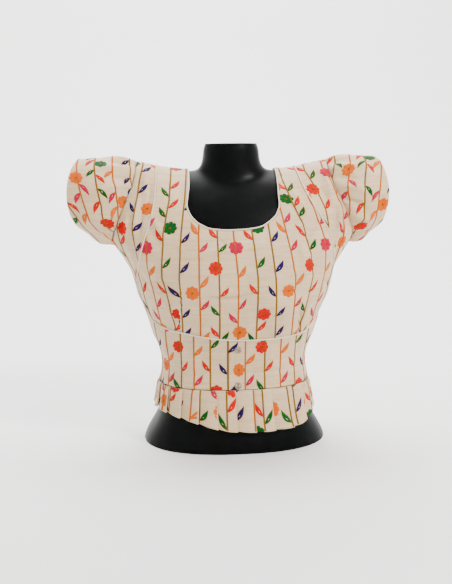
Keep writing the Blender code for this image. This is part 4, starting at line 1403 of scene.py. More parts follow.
def make_thread_lay():
    """Colour with painted groove shade, and height, of laid threads over the map called thread, whose x
    counts threads.
    """
    group, given, result = new_group(
        "laid thread",
        [("Colour", "Color", (1.0, 1.0, 1.0, 1.0))],
        [("Colour", "Color"), ("Height", "Float")],
    )
    place = group.nodes.new("ShaderNodeUVMap")
    place.uv_map = "thread"
    split = group.nodes.new("ShaderNodeSeparateXYZ")
    group.links.new(place.outputs["UV"], split.inputs["Vector"])
    slant = weighted(group, (split.outputs["X"], 1.0), (split.outputs["Y"], THREAD_SLANT))
    wave = combined(group, "SINE", combined(group, "MULTIPLY", slant, 2 * math.pi), 0.0)
    height = remapped(group, wave, -1.0, 1.0, 0.0, 1.0)
    uneven = stretched_noise(group, place.outputs["UV"], (0.7, 1.6, 1.0), 2.0)
    share = combined(group, "MULTIPLY", height, remapped(group, uneven, 0.3, 0.7, 0.55, 1.0))
    # Painted shade: the colour darkens in the grooves between threads, where the height is low, and a darker
    # tone also falls at random where the noise is low.
    painted_groove_shade_and_dark_tone = group.nodes.new("ShaderNodeHueSaturation")
    painted_groove_shade_and_dark_tone.inputs["Value"].default_value = 0.62
    painted_groove_shade_and_dark_tone.inputs["Saturation"].default_value = 1.08
    group.links.new(given.outputs["Colour"], painted_groove_shade_and_dark_tone.inputs["Color"])
    shade = mixed(group, share, painted_groove_shade_and_dark_tone.outputs["Color"], given.outputs["Colour"])
    group.links.new(shade, result.inputs["Colour"])
    group.links.new(height, result.inputs["Height"])
    return group


def make_threads():
    lay = make_thread_lay()
    made = []
    for name, colour in THREADS.items():
        metal = 0.35 if name == "gold" else 0.0
        thread, tree, shader = new_material(f"{name} thread", roughness=0.55, metallic=metal)
        shader.inputs["Specular IOR Level"].default_value = 0.08
        node = place_group(tree, lay)
        node.inputs["Colour"].default_value = colour
        tree.links.new(node.outputs["Colour"], shader.inputs["Base Color"])
        bumped(tree, shader, node.outputs["Height"], 0.5, 0.0003)
        made.append(thread)
    return made


threads = make_threads()
print(len(threads), "thread colours")


# %% [markdown]
# A shape of embroidery is a list of ribbons. A leaf is one wide ribbon that comes to a point at both ends,
# with a gold edge on either side and a few pale stitches in its middle. A flower is eight petals round a
# gold knot, with small gold knots along its rim.
# %% Embroidery shapes
Ribbon = namedtuple("Ribbon", "points faces thread uv")
ROUND_TOP = ((-1.0, 0.05), (-0.72, 0.42), (0.0, 0.6), (0.72, 0.42), (1.0, 0.05))
CORD_TOP = ((-1.0, 0.05), (-0.35, 0.75), (0.35, 0.75), (1.0, 0.05))
THREAD_PITCH = 0.55


def ribbon(line, widths, thread, top=ROUND_TOP, lift=1.0):
    """A closed raised ribbon along a flat line, with a half width at each of its points."""
    line = np.asarray(line, float)
    widths = np.broadcast_to(np.asarray(widths, float), len(line))
    way = np.gradient(line, axis=0)
    way /= np.maximum(np.linalg.norm(way, axis=1, keepdims=True), 1e-9)
    side = np.stack([-way[:, 1], way[:, 0]], -1)
    count = len(top)
    points = np.empty((len(line), count, 3))
    uv = np.empty((len(line), count, 2))
    run = np.concatenate([[0], np.cumsum(np.linalg.norm(np.diff(line, axis=0), axis=1))])
    for k, (across, height) in enumerate(top):
        points[:, k, :2] = line + side * (widths * across)[:, None]
        points[:, k, 2] = height * lift * np.clip(widths / 0.8, 0.35, 1.0)
        uv[:, k, 0] = run / THREAD_PITCH
        uv[:, k, 1] = widths * across / THREAD_PITCH
    faces = []
    for i in range(len(line) - 1):
        for k in range(count):
            following = (k + 1) % count
            here = i * count
            ahead = here + count
            faces.append((here + k, here + following, ahead + following, ahead + k))
    faces.append(tuple(range(count))[::-1])
    last = (len(line) - 1) * count
    faces.append(tuple(range(last, last + count)))
    return Ribbon(points.reshape(-1, 3), faces, THREAD_NAMES.index(thread), uv.reshape(-1, 2))


LEAF_LENGTH = 23.5
LEAF_HALF_WIDTH = 3.5
LEAF_HOOK = 2.2
LEAF_STEPS = 10
LEAF_EDGE = 0.36
LEAF_VEIN = (0.25, 0.62, 0.6, 0.25)
FLOWER_RADIUS = 11.3
PETALS = 8
# share of the radius and half width, at each step along a petal
PETAL_SHAPE = ((0.14, 0.9), (0.34, 2.2), (0.58, 3.3), (0.78, 3.9), (0.92, 3.2), (1.0, 1.5))
# share of a petal's turn and of the radius, for each gold knot on its rim
RIM_KNOTS = ((-0.24, 0.97), (0.0, 1.02), (0.24, 0.97), (0.5, 0.8))
MIDDLE_KNOTS = 6
MIDDLE_REACH = 1.5


def leaf(colour, side):
    """A pointed leaf from its stalk at the origin along +x, whose tip hooks up the cloth."""
    t = np.linspace(0, 1, LEAF_STEPS)
    line = np.stack([LEAF_LENGTH * t, side * LEAF_HOOK * (t**3 - 0.35 * np.sin(math.pi * t))], -1)
    widths = LEAF_HALF_WIDTH * np.sin(math.pi * t**0.9) ** 1.15 + 0.2
    way = unit(np.gradient(line, axis=0))
    edge = np.stack([-way[:, 1], way[:, 0]], -1)
    shapes = [ribbon(line, widths, colour, lift=1.25)]
    for sign in (-1, 1):
        shapes.append(ribbon(line + edge * (widths * sign)[:, None], LEAF_EDGE, "gold", CORD_TOP, 0.9))
    shapes.append(ribbon(line[2:6], LEAF_VEIN, "pale", CORD_TOP, 1.35))
    return shapes


def knot(x, y, radius, thread, lift):
    """A small raised knot."""
    line = [(x - radius, y), (x - radius * 0.5, y), (x + radius * 0.5, y), (x + radius, y)]
    return ribbon(line, (0.25 * radius, radius, radius, 0.25 * radius), thread, CORD_TOP, lift)


def flower(colour):
    """Eight petals about the origin, with a gold middle and gold knots round the rim."""
    shapes = []
    for number in range(PETALS):
        angle = 2 * math.pi * (number + 0.5) / PETALS
        way = np.array([math.cos(angle), math.sin(angle)])
        line = [way * FLOWER_RADIUS * share for share, _ in PETAL_SHAPE]
        shapes.append(ribbon(line, [width for _, width in PETAL_SHAPE], colour, lift=1.2))
        for part, radius in RIM_KNOTS:
            place = angle + part * 2 * math.pi / PETALS
            reach = FLOWER_RADIUS * radius
            shapes.append(knot(reach * math.cos(place), reach * math.sin(place), 0.5, "gold", 1.1))
    for number in range(MIDDLE_KNOTS):
        angle = 2 * math.pi * number / MIDDLE_KNOTS
        x, y = MIDDLE_REACH * math.cos(angle), MIDDLE_REACH * math.sin(angle)
        shapes.append(knot(x, y, 0.75, "gold", 1.7))
    shapes.append(knot(0, 0, 0.9, "gold", 2.2))
    return shapes


LEAF_THREADS = ("red", "pink", "orange", "green", "navy")
SHAPES = {("leaf", name, side): leaf(name, side) for name in LEAF_THREADS for side in (1, -1)}
SHAPES.update({("flower", name): flower(name) for name in LEAF_THREADS[:-1]})
print("a leaf has", sum(len(r.faces) for r in SHAPES["leaf", "red", 1]), "faces")

# %% [markdown]
# The pattern is a common one of climbing stems: five kinds of stem stand side by side, and each repeats
# after 249 mm. The chart lists what grows on each stem, how far down the repeat it sits and on which
# side, so the whole blouse is covered by walking down every stem with this short chart.
# %% Pattern chart
Motif = namedtuple("Motif", "shape colour across at")
REPEAT = 249.0
CHART_END = 284.0
LEAF_OUT = 0.6
LEAF_TILT = {1: math.radians(48), -1: math.radians(130)}
FLOWER_TILT = 0.35
MOTIF_REACH = 12.0
CHART = {
    0: (
        Motif("leaf", "pink", 1, 83),
        Motif("flower", "pink", 0.5, 126),
        Motif("leaf", "orange", 1, 165),
        Motif("leaf", "pink", 1, 216),
        Motif("leaf", "pink", -1, 240),
        Motif("flower", "orange", 3.0, 266),
    ),
    1: (
        Motif("leaf", "red", 1, 21),
        Motif("leaf", "green", -1, 34),
        Motif("leaf", "red", 1, 54),
        Motif("leaf", "green", -1, 68),
        Motif("flower", "green", 10.5, 93),
        Motif("leaf", "red", -1, 105),
        Motif("leaf", "green", 1, 151),
        Motif("leaf", "red", -1, 191),
        Motif("flower", "red", 11.0, 234),
        Motif("leaf", "red", 1, 256),
        Motif("leaf", "green", -1, 278),
    ),
    2: (
        Motif("leaf", "navy", 1, 58),
        Motif("leaf", "navy", 1, 109),
        Motif("leaf", "navy", 1, 158),
        Motif("leaf", "navy", -1, 196),
        Motif("leaf", "navy", 1, 231),
        Motif("leaf", "navy", 1, 267),
    ),
    3: (
        Motif("leaf", "orange", 1, 26),
        Motif("leaf", "pink", 1, 79),
        Motif("leaf", "orange", -1, 94),
        Motif("leaf", "pink", 1, 125),
        Motif("leaf", "orange", 1, 180),
        Motif("flower", "orange", -11.5, 197),
        Motif("leaf", "pink", 1, 216),
        Motif("leaf", "orange", 1, 275),
    ),
    4: (
        Motif("leaf", "red", -1, 24),
        Motif("leaf", "green", 1, 27),
        Motif("flower", "green", -11.0, 48),
        Motif("leaf", "red", 1, 53),
        Motif("leaf", "green", 1, 70),
        Motif("leaf", "red", -1, 101),
        Motif("leaf", "green", 1, 125),
        Motif("flower", "red", -5.0, 159),
        Motif("leaf", "red", 1, 194),
        Motif("leaf", "green", -1, 226),
        Motif("leaf", "red", -1, 265),
        Motif("leaf", "green", 1, 275),
    ),
}
STEM_THREAD = {0: "copper", 1: "olive", 2: "olive", 3: "copper", 4: "olive"}
CHAIN_LINK = 3.6
CHAIN_STEP = 1.2
CHAIN_HALF_WIDTH = 1.75


class Needlework:
    """Flat embroidery waiting to be laid on a sheet: points about anchors on the flat cloth."""

    def __init__(self):
        self.anchors = []
        self.owners = []
        self.offsets = []
        self.uv = []
        self.faces = []
        self.threads = []
        self.count = 0

    def add(self, shape, anchor, turn):
        """A shape turned about its anchor. v runs down the cloth, so a tilt up it is subtracted."""
        self.anchors.append(anchor)
        cos, sin = math.cos(turn), math.sin(turn)
        for piece in shape:
            x, y, height = piece.points.T
            turned = np.stack([x * cos - y * sin, -(x * sin + y * cos), height], -1)
            self.take(piece, turned, len(self.anchors) - 1)

    def take(self, piece, offsets, owner):
        self.offsets.append(offsets)
        self.owners.append(np.broadcast_to(owner, len(offsets)))
        self.uv.append(piece.uv)
        self.faces += [tuple(index + self.count for index in face) for face in piece.faces]
        self.threads += [piece.thread] * len(piece.faces)
        self.count += len(offsets)

    def add_stem(self, u, low, high, thread):
        """A chain stitched line down the cloth, each of whose rings is its own anchor."""
        v = np.arange(low, high, CHAIN_STEP)
        widths = CHAIN_HALF_WIDTH * (0.72 + 0.28 * np.abs(np.sin(math.pi * v / CHAIN_LINK)))
        piece = ribbon(np.stack([np.zeros_like(v), v], -1), widths, thread, CORD_TOP, 1.1)
        owner = len(self.anchors) + np.repeat(np.arange(len(v)), len(CORD_TOP))
        self.anchors += [(u, place) for place in v]
        self.take(piece, piece.points * (1, 0, 1), owner)


def chart_places(kind, low, high):
    """The chart's motifs for one kind of stem between two places down the cloth."""
    for number in range(math.floor(low / REPEAT) - 1, math.ceil(high / REPEAT) + 1):
        for motif in CHART[kind]:
            at = motif.at + number * REPEAT
            again = (number > 0 and motif.at < CHART_END - REPEAT) or (number < 0 and motif.at >= REPEAT)
            if low - MOTIF_REACH < at < high + MOTIF_REACH and not again:
                yield motif, at


def embroider(sheet):
    """Every stem, leaf and flower that falls on a sheet."""
    work = Needlework()
    low_u, low_v = sheet.flat.reshape(-1, 2).min(axis=0)
    high_u, high_v = sheet.flat.reshape(-1, 2).max(axis=0)
    for number in range(math.floor(low_u / STEM_SPACING), math.ceil(high_u / STEM_SPACING) + 1):
        u = number * STEM_SPACING
        kind = number % KINDS_OF_STEM
        work.add_stem(u, low_v, high_v, STEM_THREAD[kind])
        for motif, at in chart_places(kind, low_v, high_v):
            if motif.shape == "flower":
                work.add(SHAPES["flower", motif.colour], (u + motif.across, at), FLOWER_TILT)
            else:
                tilt = LEAF_TILT[motif.across]
                foot = LEAF_LENGTH / 2 * math.sin(tilt)
                anchor = (u + LEAF_OUT * motif.across, at + foot)
                work.add(SHAPES["leaf", motif.colour, motif.across], anchor, tilt)
    return work


# %% [markdown]
# Now the flat work is carried to the body. Each anchor is found on the sheet, its shape is scaled so that
# a leaf stays as long as it was stitched, and every point is set on the cloth and raised by its own
# height. What falls outside the cut edge is trimmed off there, as the shears did.
# %% Laying the embroidery
STITCH_SINK = 0.15
MOST_MISS = 4.0


def lay(sheet, name):
    work = embroider(sheet)
    anchors = np.array(work.anchors, float)
    owners = np.concatenate(work.owners)
    offsets = np.concatenate(work.offsets)
    corners_uv = np.concatenate(work.uv)
    rows, columns = sheet.points.shape[:2]
    limit = np.array([rows - 1, columns - 1])
    places = sheet.find(anchors)
    scale = sheet.stretch(np.clip(places, 0, limit))
    low = sheet.flat.reshape(-1, 2).min(axis=0) - MOTIF_REACH
    high = sheet.flat.reshape(-1, 2).max(axis=0) + MOTIF_REACH
    near = ((anchors > low) & (anchors < high)).all(axis=1)
    flat = anchors[owners] + offsets[:, :2] / scale[owners]
    place = sheet.find(flat)
    outside = ((place < -0.01) | (place > limit + 0.01)).any(axis=1)
    place = np.clip(place, 0, limit)
    value, _, _ = sheet.at(sheet.flat, place)
    lost = np.linalg.norm(value - flat, axis=1) > MOST_MISS
    shown = sheet.shown[tuple(np.round(place).astype(int).T)]
    points, _, _ = sheet.at(sheet.points, place)
    normals, _, _ = sheet.at(sheet.normals, place)
    points = points + unit(normals) * (offsets[:, 2:] - STITCH_SINK)
    kept = [
        index
        for index, face in enumerate(work.faces)
        if near[owners[face[0]]]
        and not all(outside[corner] for corner in face)
        and not any(lost[corner] or not shown[corner] for corner in face)
    ]
    faces = [work.faces[index] for index in kept]
    used = np.unique(np.concatenate([np.array(face) for face in faces]))
    renumbered = np.full(len(points), -1)
    renumbered[used] = np.arange(len(used))
    faces = [tuple(int(renumbered[corner]) for corner in face) for face in faces]
    made = new_object(name, points[used], faces, threads, 50.0)
    made.data.polygons.foreach_set("material_index", [work.threads[index] for index in kept])
    corners = np.concatenate([np.array(work.faces[index]) for index in kept])
    set_uv(made, "thread", corners_uv[corners])
    shaper = bmesh.new()
    shaper.from_mesh(made.data)
    bmesh.ops.dissolve_degenerate(shaper, edges=shaper.edges, dist=0.00001)
    bmesh.ops.recalc_face_normals(shaper, faces=shaper.faces)
    shaper.to_mesh(made.data)
    shaper.free()
    return made


stitch_pieces = {}
for node, sheet in sheets.items():
    stitch_pieces[node] = lay(sheet, f"{node}_embroidery")
    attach(stitch_pieces[node], "root")
    print(node, len(stitch_pieces[node].data.polygons), "stitched faces")

# %% [markdown]
# Piping is a cord wrapped in a bias strip and caught in the seam. It is a tube a little over 2 mm thick.
# The strip's own folds wind round it, so the tube swells very slightly along its length.
# %% Piping
PIPING = 1.1
PIPING_SIDES = 10
PIPING_SPARE = 0.3
LAID_GAP = 0.35
WALL_MIDDLE = -0.7
SEAM_CORD_SINK = 0.9
MAP_STEP = 2.0


def make_piping_material():
    made, tree, shader = new_material("cream piping", roughness=0.5, sheen=0.3)
    group, given, result = new_group(
        "bias strip", [("Colour", "Color", linear(226, 212, 190))], [("Colour", "Color"), ("Height", "Float")]
    )
    place = group.nodes.new("ShaderNodeUVMap")
    place.uv_map = "thread"
    fine = stretched_noise(group, place.outputs["UV"], (1.5, 3.0, 1.0), 3.0)
    share = remapped(group, fine, 0.35, 0.65, 0.0, 1.0)
    colour = mixed(group, share, linear(202, 186, 162), given.outputs["Colour"])
    group.links.new(colour, result.inputs["Colour"])
    group.links.new(fine, result.inputs["Height"])
    node = place_group(tree, group)
    tree.links.new(node.outputs["Colour"], shader.inputs["Base Color"])
    bumped(tree, shader, node.outputs["Height"], 0.5, 0.0003)
    return made


def tube(name, line, radius, finish, closed):
    """A cord of ten sides along a line of points."""
    line = np.asarray(line, float)
    if closed:
        way = np.roll(line, -1, axis=0) - np.roll(line, 1, axis=0)
    else:
        way = np.gradient(line, axis=0)
    way = unit(way)
    side = np.cross(way, (0.0, 0.0, 1.0))
    weak = np.linalg.norm(side, axis=1) < 0.05
    side[weak] = np.cross(way[weak], (0.0, 1.0, 0.0))
    side = unit(side)
    for i in range(1, len(side)):
        carried = side[i - 1] - way[i] * (side[i - 1] @ way[i])
        side[i] = carried / np.linalg.norm(carried)
    other = np.cross(way, side)
    angle = np.linspace(0, 2 * math.pi, PIPING_SIDES, endpoint=False)
    run = np.concatenate([[0], np.cumsum(np.linalg.norm(np.diff(line, axis=0), axis=1))])
    swell = radius * (1 + 0.05 * np.sin(run * 1.3) + 0.03 * np.sin(run * 0.47))
    ring = np.cos(angle)[None, :, None] * side[:, None] + np.sin(angle)[None, :, None] * other[:, None]
    points = (line[:, None] + ring * swell[:, None, None]).reshape(-1, 3)
    rows = len(line)
    faces = []
    uv = []
    for i in range(rows if closed else rows - 1):
        ahead = (i + 1) % rows
        for k in range(PIPING_SIDES):
            following = (k + 1) % PIPING_SIDES
            here, there = i * PIPING_SIDES, ahead * PIPING_SIDES
            faces.append((here + k, here + following, there + following, there + k))
            end = run[i] + MAP_STEP
            uv += [(run[i], k), (run[i], k + 1), (end, k + 1), (end, k)]
    if not closed:
        faces.append(tuple(range(PIPING_SIDES))[::-1])
        faces.append(tuple(range((rows - 1) * PIPING_SIDES, rows * PIPING_SIDES)))
        uv += [(0.0, 0.0)] * (2 * PIPING_SIDES)
    made = new_object(name, points, faces, [finish])
    set_uv(made, "thread", uv)
    shaper = bmesh.new()
    shaper.from_mesh(made.data)
    bmesh.ops.recalc_face_normals(shaper, faces=shaper.faces)
    shaper.to_mesh(made.data)
    shaper.free()
    return made


def edge_cord(line, spare):
    """Points of a cord laid just outside the edge of a panel, at the middle of its wall."""
    edge = body.point(line[:, 0], line[:, 1], WALL_MIDDLE)
    out = body.normal(line[:, 0], line[:, 1])
    return edge + unit(np.cross(np.gradient(edge, axis=0), out)) * spare


piping_finish = make_piping_material()
back_half = behind(seam_line(BACK_NECKLINE, BACK_NECK_STEPS))
other_half = back_half.copy()
other_half[:, 0] = 3 * math.pi - other_half[:, 0]
neck_loop = np.concatenate(
    [
        edge_cord(neckline, -(PIPING + PIPING_SPARE))[:-1],
        edge_cord(joined(back_half, other_half[::-1]), -(PIPING + PIPING_SPARE))[:-1],
    ]
)
neck_piping = tube("neck_piping_cord", neck_loop, PIPING, piping_finish, closed=True)
seam_cord = body.point(piped_seam[:, 0], piped_seam[:, 1], LAID_GAP + PIPING - SEAM_CORD_SINK)
seam_piping = tube("front_seam_piping_cord", seam_cord, PIPING, piping_finish, closed=False)
for piece, node in ((neck_piping, "neck_piping"), (seam_piping, "front_seam_piping")):
    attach(piece, "root")
    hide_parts(node)
print("piping", round(float(np.linalg.norm(np.diff(neck_loop, axis=0), axis=1).sum())), "mm round the neck")

# %% [markdown]
# The two buttons are clear, faceted domes on a short shank. By hand, a facet button is a low cylinder
# whose top is inset and raised twice, so that flat faces run round it, then inset and dished. A small
# bevel blunts every edge, and the faces stay flat shaded, because facets are what makes it sparkle.
# %% Buttons
BUTTON_RADIUS = 6.0
BUTTON_X = -1.0
BUTTON_HEIGHTS = {"upper": 170.0, "lower": 108.5}
BUTTON_FACETS = 12
BUTTON_GIRDLE = 1.6
BUTTON_MIDDLE = 3.4
# inset and rise of each ring of facets
BUTTON_RINGS = ((1.5, 1.0), (1.5, 0.45), (1.3, -0.35))
BUTTON_UNDERSIDE = (1.4, -0.9)
SHANK_INSET = 3.0
SHANK_LENGTH = 1.6
BUTTON_EDGE = 0.14
BUTTON_GAP = 0.3


def select_faces(obj, wanted):
    """In edit mode, leaves only the wanted faces selected."""
    shaper = bmesh.from_edit_mesh(obj.data)
    for face in shaper.faces:
        face.select_set(wanted(face))
    bmesh.update_edit_mesh(obj.data)


def model_button(name):
    """A faceted button about the origin, facing +Z, in metres."""
    bpy.ops.object.select_all(action="DESELECT")
    bpy.ops.mesh.primitive_cylinder_add(
        vertices=BUTTON_FACETS,
        radius=BUTTON_RADIUS * MM,
        depth=BUTTON_GIRDLE * MM,
        location=(0, 0, BUTTON_MIDDLE * MM),
    )
    made = bpy.context.object
    made.name = name
    bpy.ops.object.mode_set(mode="EDIT")
    bpy.ops.mesh.select_mode(type="FACE")
    for thickness, rise in BUTTON_RINGS:
        select_faces(made, lambda face: face.normal.z > 0.99)
        bpy.ops.mesh.inset(thickness=thickness * MM)
        bpy.ops.transform.translate(value=(0, 0, rise * MM))
    select_faces(made, lambda face: face.normal.z < -0.99)
    bpy.ops.mesh.inset(thickness=BUTTON_UNDERSIDE[0] * MM)
    bpy.ops.transform.translate(value=(0, 0, BUTTON_UNDERSIDE[1] * MM))
    select_faces(made, lambda face: face.normal.z < -0.99)
    bpy.ops.mesh.inset(thickness=SHANK_INSET * MM)
    bpy.ops.mesh.extrude_region_move(TRANSFORM_OT_translate={"value": (0, 0, -SHANK_LENGTH * MM)})
    bpy.ops.object.mode_set(mode="OBJECT")
    soften = made.modifiers.new("soften", "BEVEL")
    soften.width = BUTTON_EDGE * MM
    soften.segments = 2
    soften.limit_method = "ANGLE"
    soften.angle_limit = math.radians(12)
    bpy.ops.object.modifier_apply(modifier=soften.name)
    made.data.name = name
    return made


def make_button_material():
    made, tree, shader = new_material("clear pearly button", roughness=0.14, coat=0.15)
    shader.inputs["Specular IOR Level"].default_value = 0.5
    shader.inputs["Transmission Weight"].default_value = 0.3
    place = tree.nodes.new("ShaderNodeTexCoord")
    cloud = stretched_noise(tree, place.outputs["Object"], (260.0, 260.0, 260.0), 2.0)
    glint = stretched_noise(tree, place.outputs["Object"], (900.0, 900.0, 900.0), 1.0)
    share = remapped(tree, cloud, 0.35, 0.65, 0.0, 1.0)
    base = mixed(tree, share, linear(104, 84, 62), linear(186, 166, 140))
    tree.links.new(base, shader.inputs["Base Color"])
    tree.links.new(remapped(tree, glint, 0.4, 0.6, 0.05, 0.22), shader.inputs["Roughness"])
    return made


def sew_on(button, height):
    """Moves a button's mesh to its place on the placket, facing out. Returns the place in millimetres."""
    turn = body.turn_at(BUTTON_X, height)
    centre = body.point(turn, body.path_at(height), PLACKET_OUT + BUTTON_GAP)
    facing = Vector(body.normal(turn, body.path_at(height)))
    turned = facing.to_track_quat("Z", "Y").to_matrix().to_4x4()
    button.data.transform(Matrix.Translation(Vector(centre) * MM) @ turned)
    button.location = (0, 0, 0)
    return centre


button_finish = make_button_material()
for label, height in BUTTON_HEIGHTS.items():
    button = model_button(f"button_{label}_faceted")
    centre = sew_on(button, height)
    button.data.materials.append(button_finish)
    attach(button, "root")
    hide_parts(f"button_{label}")
    print(button.name, "at", [round(float(value), 1) for value in centre])

# %% [markdown]
# The dress form is a gloss moulding with no limbs. Any facet would show in its reflections, so the solid's
# own shape is copied, rebuilt as one even skin, relaxed until it is smooth, and cut off flat again at the
# base and at the neck. The rim of the neck gets a small rounded edge.
# %% Dress form
FORM_VOXEL = 4.5 * MM
SPARE_LENGTH = 30.0 * MM
NECK_STEP = 1.6 * MM
SMOOTH_ROUNDS = 14
FLAT_ENOUGH = 0.9
NECK_TOP = float(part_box("dress_form")[1][2])


def only(obj):
    bpy.ops.object.select_all(action="DESELECT")
    obj.select_set(True)
    bpy.context.view_layer.objects.active = obj


def apply_modifier(obj, kind, **settings):
    modifier = obj.modifiers.new(kind.lower(), kind)
    for label, value in settings.items():
        setattr(modifier, label, value)
    only(obj)
    bpy.ops.object.modifier_apply(modifier=modifier.name)


def select_level(obj, height):
    """In edit mode, selects the level faces within 1 mm of a height."""
    select_faces(
        obj,
        lambda face: abs(face.normal.z) > FLAT_ENOUGH and abs(face.calc_center_median().z - height) < MM,
    )


def model_form():
    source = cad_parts["dress_form"]
    made = bpy.data.objects.new("dress_form_gloss", source.data.copy())
    bpy.context.scene.collection.objects.link(made)
    only(made)
    made.data.materials.clear()
    bpy.ops.object.mode_set(mode="EDIT")
    bpy.ops.mesh.select_all(action="SELECT")
    bpy.ops.mesh.remove_doubles(threshold=0.00001)
    bpy.ops.mesh.select_mode(type="FACE")
    for height, longer in ((0.0, -SPARE_LENGTH), (NECK_TOP, SPARE_LENGTH)):
        select_level(made, height)
        bpy.ops.mesh.extrude_region_move(TRANSFORM_OT_translate={"value": (0, 0, longer)})
    bpy.ops.object.mode_set(mode="OBJECT")
    apply_modifier(made, "REMESH", mode="VOXEL", voxel_size=FORM_VOXEL)
    apply_modifier(made, "SMOOTH", factor=0.5, iterations=SMOOTH_ROUNDS)
    for height, above in ((0.0, False), (NECK_TOP - NECK_STEP, True)):
        bpy.ops.object.mode_set(mode="EDIT")
        bpy.ops.mesh.select_all(action="SELECT")
        bpy.ops.mesh.bisect(
            plane_co=(0, 0, height),
            plane_no=(0, 0, 1),
            use_fill=True,
            clear_outer=above,
            clear_inner=not above,
        )
        bpy.ops.object.mode_set(mode="OBJECT")
    return made


dress_form = model_form()
print("dress form", len(dress_form.data.polygons), "faces")


# %% [markdown]
# The cut at the neck is finished as the moulding is: an edge turned over a small radius. The cut face is
# lifted and inset twice, which leaves two soft steps, and smooth shading rounds them into one edge.
# %% Neck cap
def finish_form(made):
    only(made)
    bpy.ops.object.mode_set(mode="EDIT")
    bpy.ops.mesh.select_mode(type="FACE")
    neck_low = NECK_TOP - 2 * NECK_STEP
    select_faces(made, lambda face: face.normal.z > 0.99 and face.calc_center_median().z > neck_low)
    for inward, upward in ((0.3, 0.7), (0.7, 0.3)):
        bpy.ops.mesh.extrude_region_move(TRANSFORM_OT_translate={"value": (0, 0, upward * NECK_STEP)})
        bpy.ops.mesh.inset(thickness=inward * NECK_STEP)
    bpy.ops.object.mode_set(mode="OBJECT")
    made.data.shade_smooth()
    made.data.set_sharp_from_angle(angle=math.radians(40))


def make_form_material():
    made, tree, shader = new_material("gloss black form", roughness=0.36)
    shader.inputs["Specular IOR Level"].default_value = 0.06
    place = tree.nodes.new("ShaderNodeTexCoord")
    cloud = stretched_noise(tree, place.outputs["Object"], (9.0, 9.0, 9.0), 4.0)
    dust = stretched_noise(tree, place.outputs["Object"], (420.0, 420.0, 420.0), 2.0)
    peel = stretched_noise(tree, place.outputs["Object"], (55.0, 55.0, 55.0), 1.0)
    base = mixed(tree, remapped(tree, cloud, 0.35, 0.65, 0.0, 1.0), linear(0, 0, 0), linear(2, 4, 4))
    specks = remapped(tree, dust, 0.7, 0.78, 0.0, 0.2)
    tree.links.new(mixed(tree, specks, base, linear(60, 62, 60)), shader.inputs["Base Color"])
    tree.links.new(remapped(tree, cloud, 0.3, 0.7, 0.32, 0.42), shader.inputs["Roughness"])
    bumped(tree, shader, peel, 0.06, 0.0006)
    return made


finish_form(dress_form)
dress_form.data.materials.append(make_form_material())
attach(dress_form, "root")
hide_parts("dress_form")

# %% [markdown]
# The size that each cloth piece was cut to is printed.
for node, sheet in sheets.items():
    width, length, area = sheet.cut()
    print(node, "flat", round(width, 3), round(length, 3), "area", round(area, 4))

# %% [markdown]
# The set is a pale sweep: a floor that curves up into a wall behind, so that no horizon line shows. The
# key light stands high at the right, where it rakes the cloth and brings out its creases. A weaker one
# fills the left, a third draws the edge of the shoulders, and a fourth lights the wall.
# %% Stage and lights
SWEEP_DEPTH = 2.2
SWEEP_WIDTH = 7.0
SWEEP_HEIGHT = 3.5
SWEEP_RADIUS = 1.0
SWEEP_FORWARD = -0.4
# The fold is behind this y and below this height
SWEEP_FOLD = 1.0
SWEEP_LOW = 0.01
PAPER_DARK = (0.92, 0.92, 0.92, 1.0)
PAPER_LIGHT = (0.95, 0.95, 0.95, 1.0)
Light = namedtuple("Light", "name place target size power colour")
WHITE = (1.0, 1.0, 1.0)
WARM_WHITE = (1.0, 0.985, 0.96)
LIGHTS = (
    Light("key", (1.2, -1.25, 1.65), (0, 0, 0.28), 0.5, 62, WARM_WHITE),
    Light("fill", (-1.8, -1.5, 0.7), (0, 0, 0.25), 1.6, 2, WHITE),
    Light("rim", (-0.5, 1.4, 1.7), (0, 0, 0.4), 0.9, 9, WHITE),
    Light("wall", (0.0, 0.9, 2.4), (0, 1.9, 0.7), 1.6, 105, WHITE),
)
WORLD_STRENGTH = 0.1


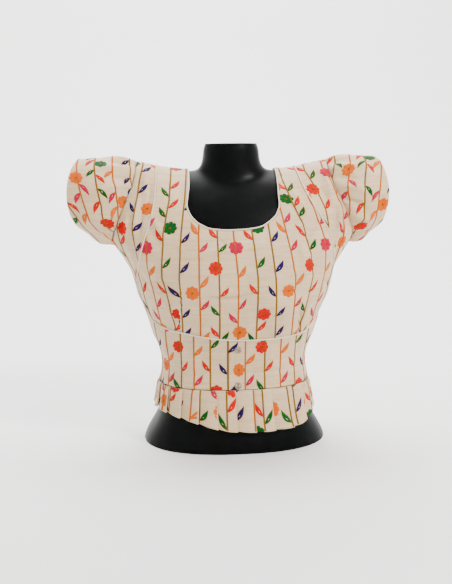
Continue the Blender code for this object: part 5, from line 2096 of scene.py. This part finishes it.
def make_sweep():
    bpy.ops.object.select_all(action="DESELECT")
    bpy.ops.mesh.primitive_plane_add(size=1.0, location=(0, SWEEP_FORWARD, 0))
    sweep = bpy.context.object
    sweep.name = "pale_sweep"
    bpy.ops.transform.resize(value=(SWEEP_WIDTH, 2 * SWEEP_DEPTH, 1))
    bpy.ops.object.transform_apply(location=True, rotation=True, scale=True)
    bpy.ops.object.mode_set(mode="EDIT")
    bpy.ops.mesh.select_mode(type="EDGE")
    shaper = bmesh.from_edit_mesh(sweep.data)
    for edge in shaper.edges:
        edge.select_set(all(vertex.co.y > SWEEP_FOLD for vertex in edge.verts))
    bmesh.update_edit_mesh(sweep.data)
    bpy.ops.mesh.extrude_region_move(TRANSFORM_OT_translate={"value": (0, 0, SWEEP_HEIGHT)})
    shaper = bmesh.from_edit_mesh(sweep.data)
    for edge in shaper.edges:
        edge.select_set(all(vertex.co.y > SWEEP_FOLD and vertex.co.z < SWEEP_LOW for vertex in edge.verts))
    bmesh.update_edit_mesh(sweep.data)
    bpy.ops.mesh.bevel(offset=SWEEP_RADIUS, segments=24)
    bpy.ops.object.mode_set(mode="OBJECT")
    sweep.data.shade_smooth()
    paper, tree, shader = new_material("pale paper", roughness=0.85)
    place = tree.nodes.new("ShaderNodeTexCoord")
    grain = stretched_noise(tree, place.outputs["Object"], (30.0, 30.0, 30.0), 3.0)
    tree.links.new(mixed(tree, grain, PAPER_DARK, PAPER_LIGHT), shader.inputs["Base Color"])
    sweep.data.materials.append(paper)
    sweep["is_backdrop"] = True


def add_light(light):
    data = bpy.data.lights.new(light.name, "AREA")
    data.size = light.size
    data.energy = light.power
    data.color = light.colour
    lamp = bpy.data.objects.new(light.name, data)
    lamp.location = light.place
    lamp.rotation_euler = (Vector(light.target) - Vector(light.place)).to_track_quat("-Z", "Y").to_euler()
    bpy.context.scene.collection.objects.link(lamp)


def make_world():
    world = bpy.data.worlds.new("studio")
    world.use_nodes = True
    background = world.node_tree.nodes["Background"]
    background.inputs["Color"].default_value = WHITE + (1.0,)
    background.inputs["Strength"].default_value = WORLD_STRENGTH
    bpy.context.scene.world = world


make_sweep()
for light in LIGHTS:
    add_light(light)
make_world()
print(len(LIGHTS), "lights")

# %% [markdown]
# The box that the visible blouse fills, without the backdrop, is measured and printed. The visible
# blouse has to fill the same box as the solids.
# %% Visible size
visual_box = [[float(value) for value in corner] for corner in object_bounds()]
for axis, low, high in zip("xyz", *visual_box):
    print(axis, round(low, 4), "to", round(high, 4))
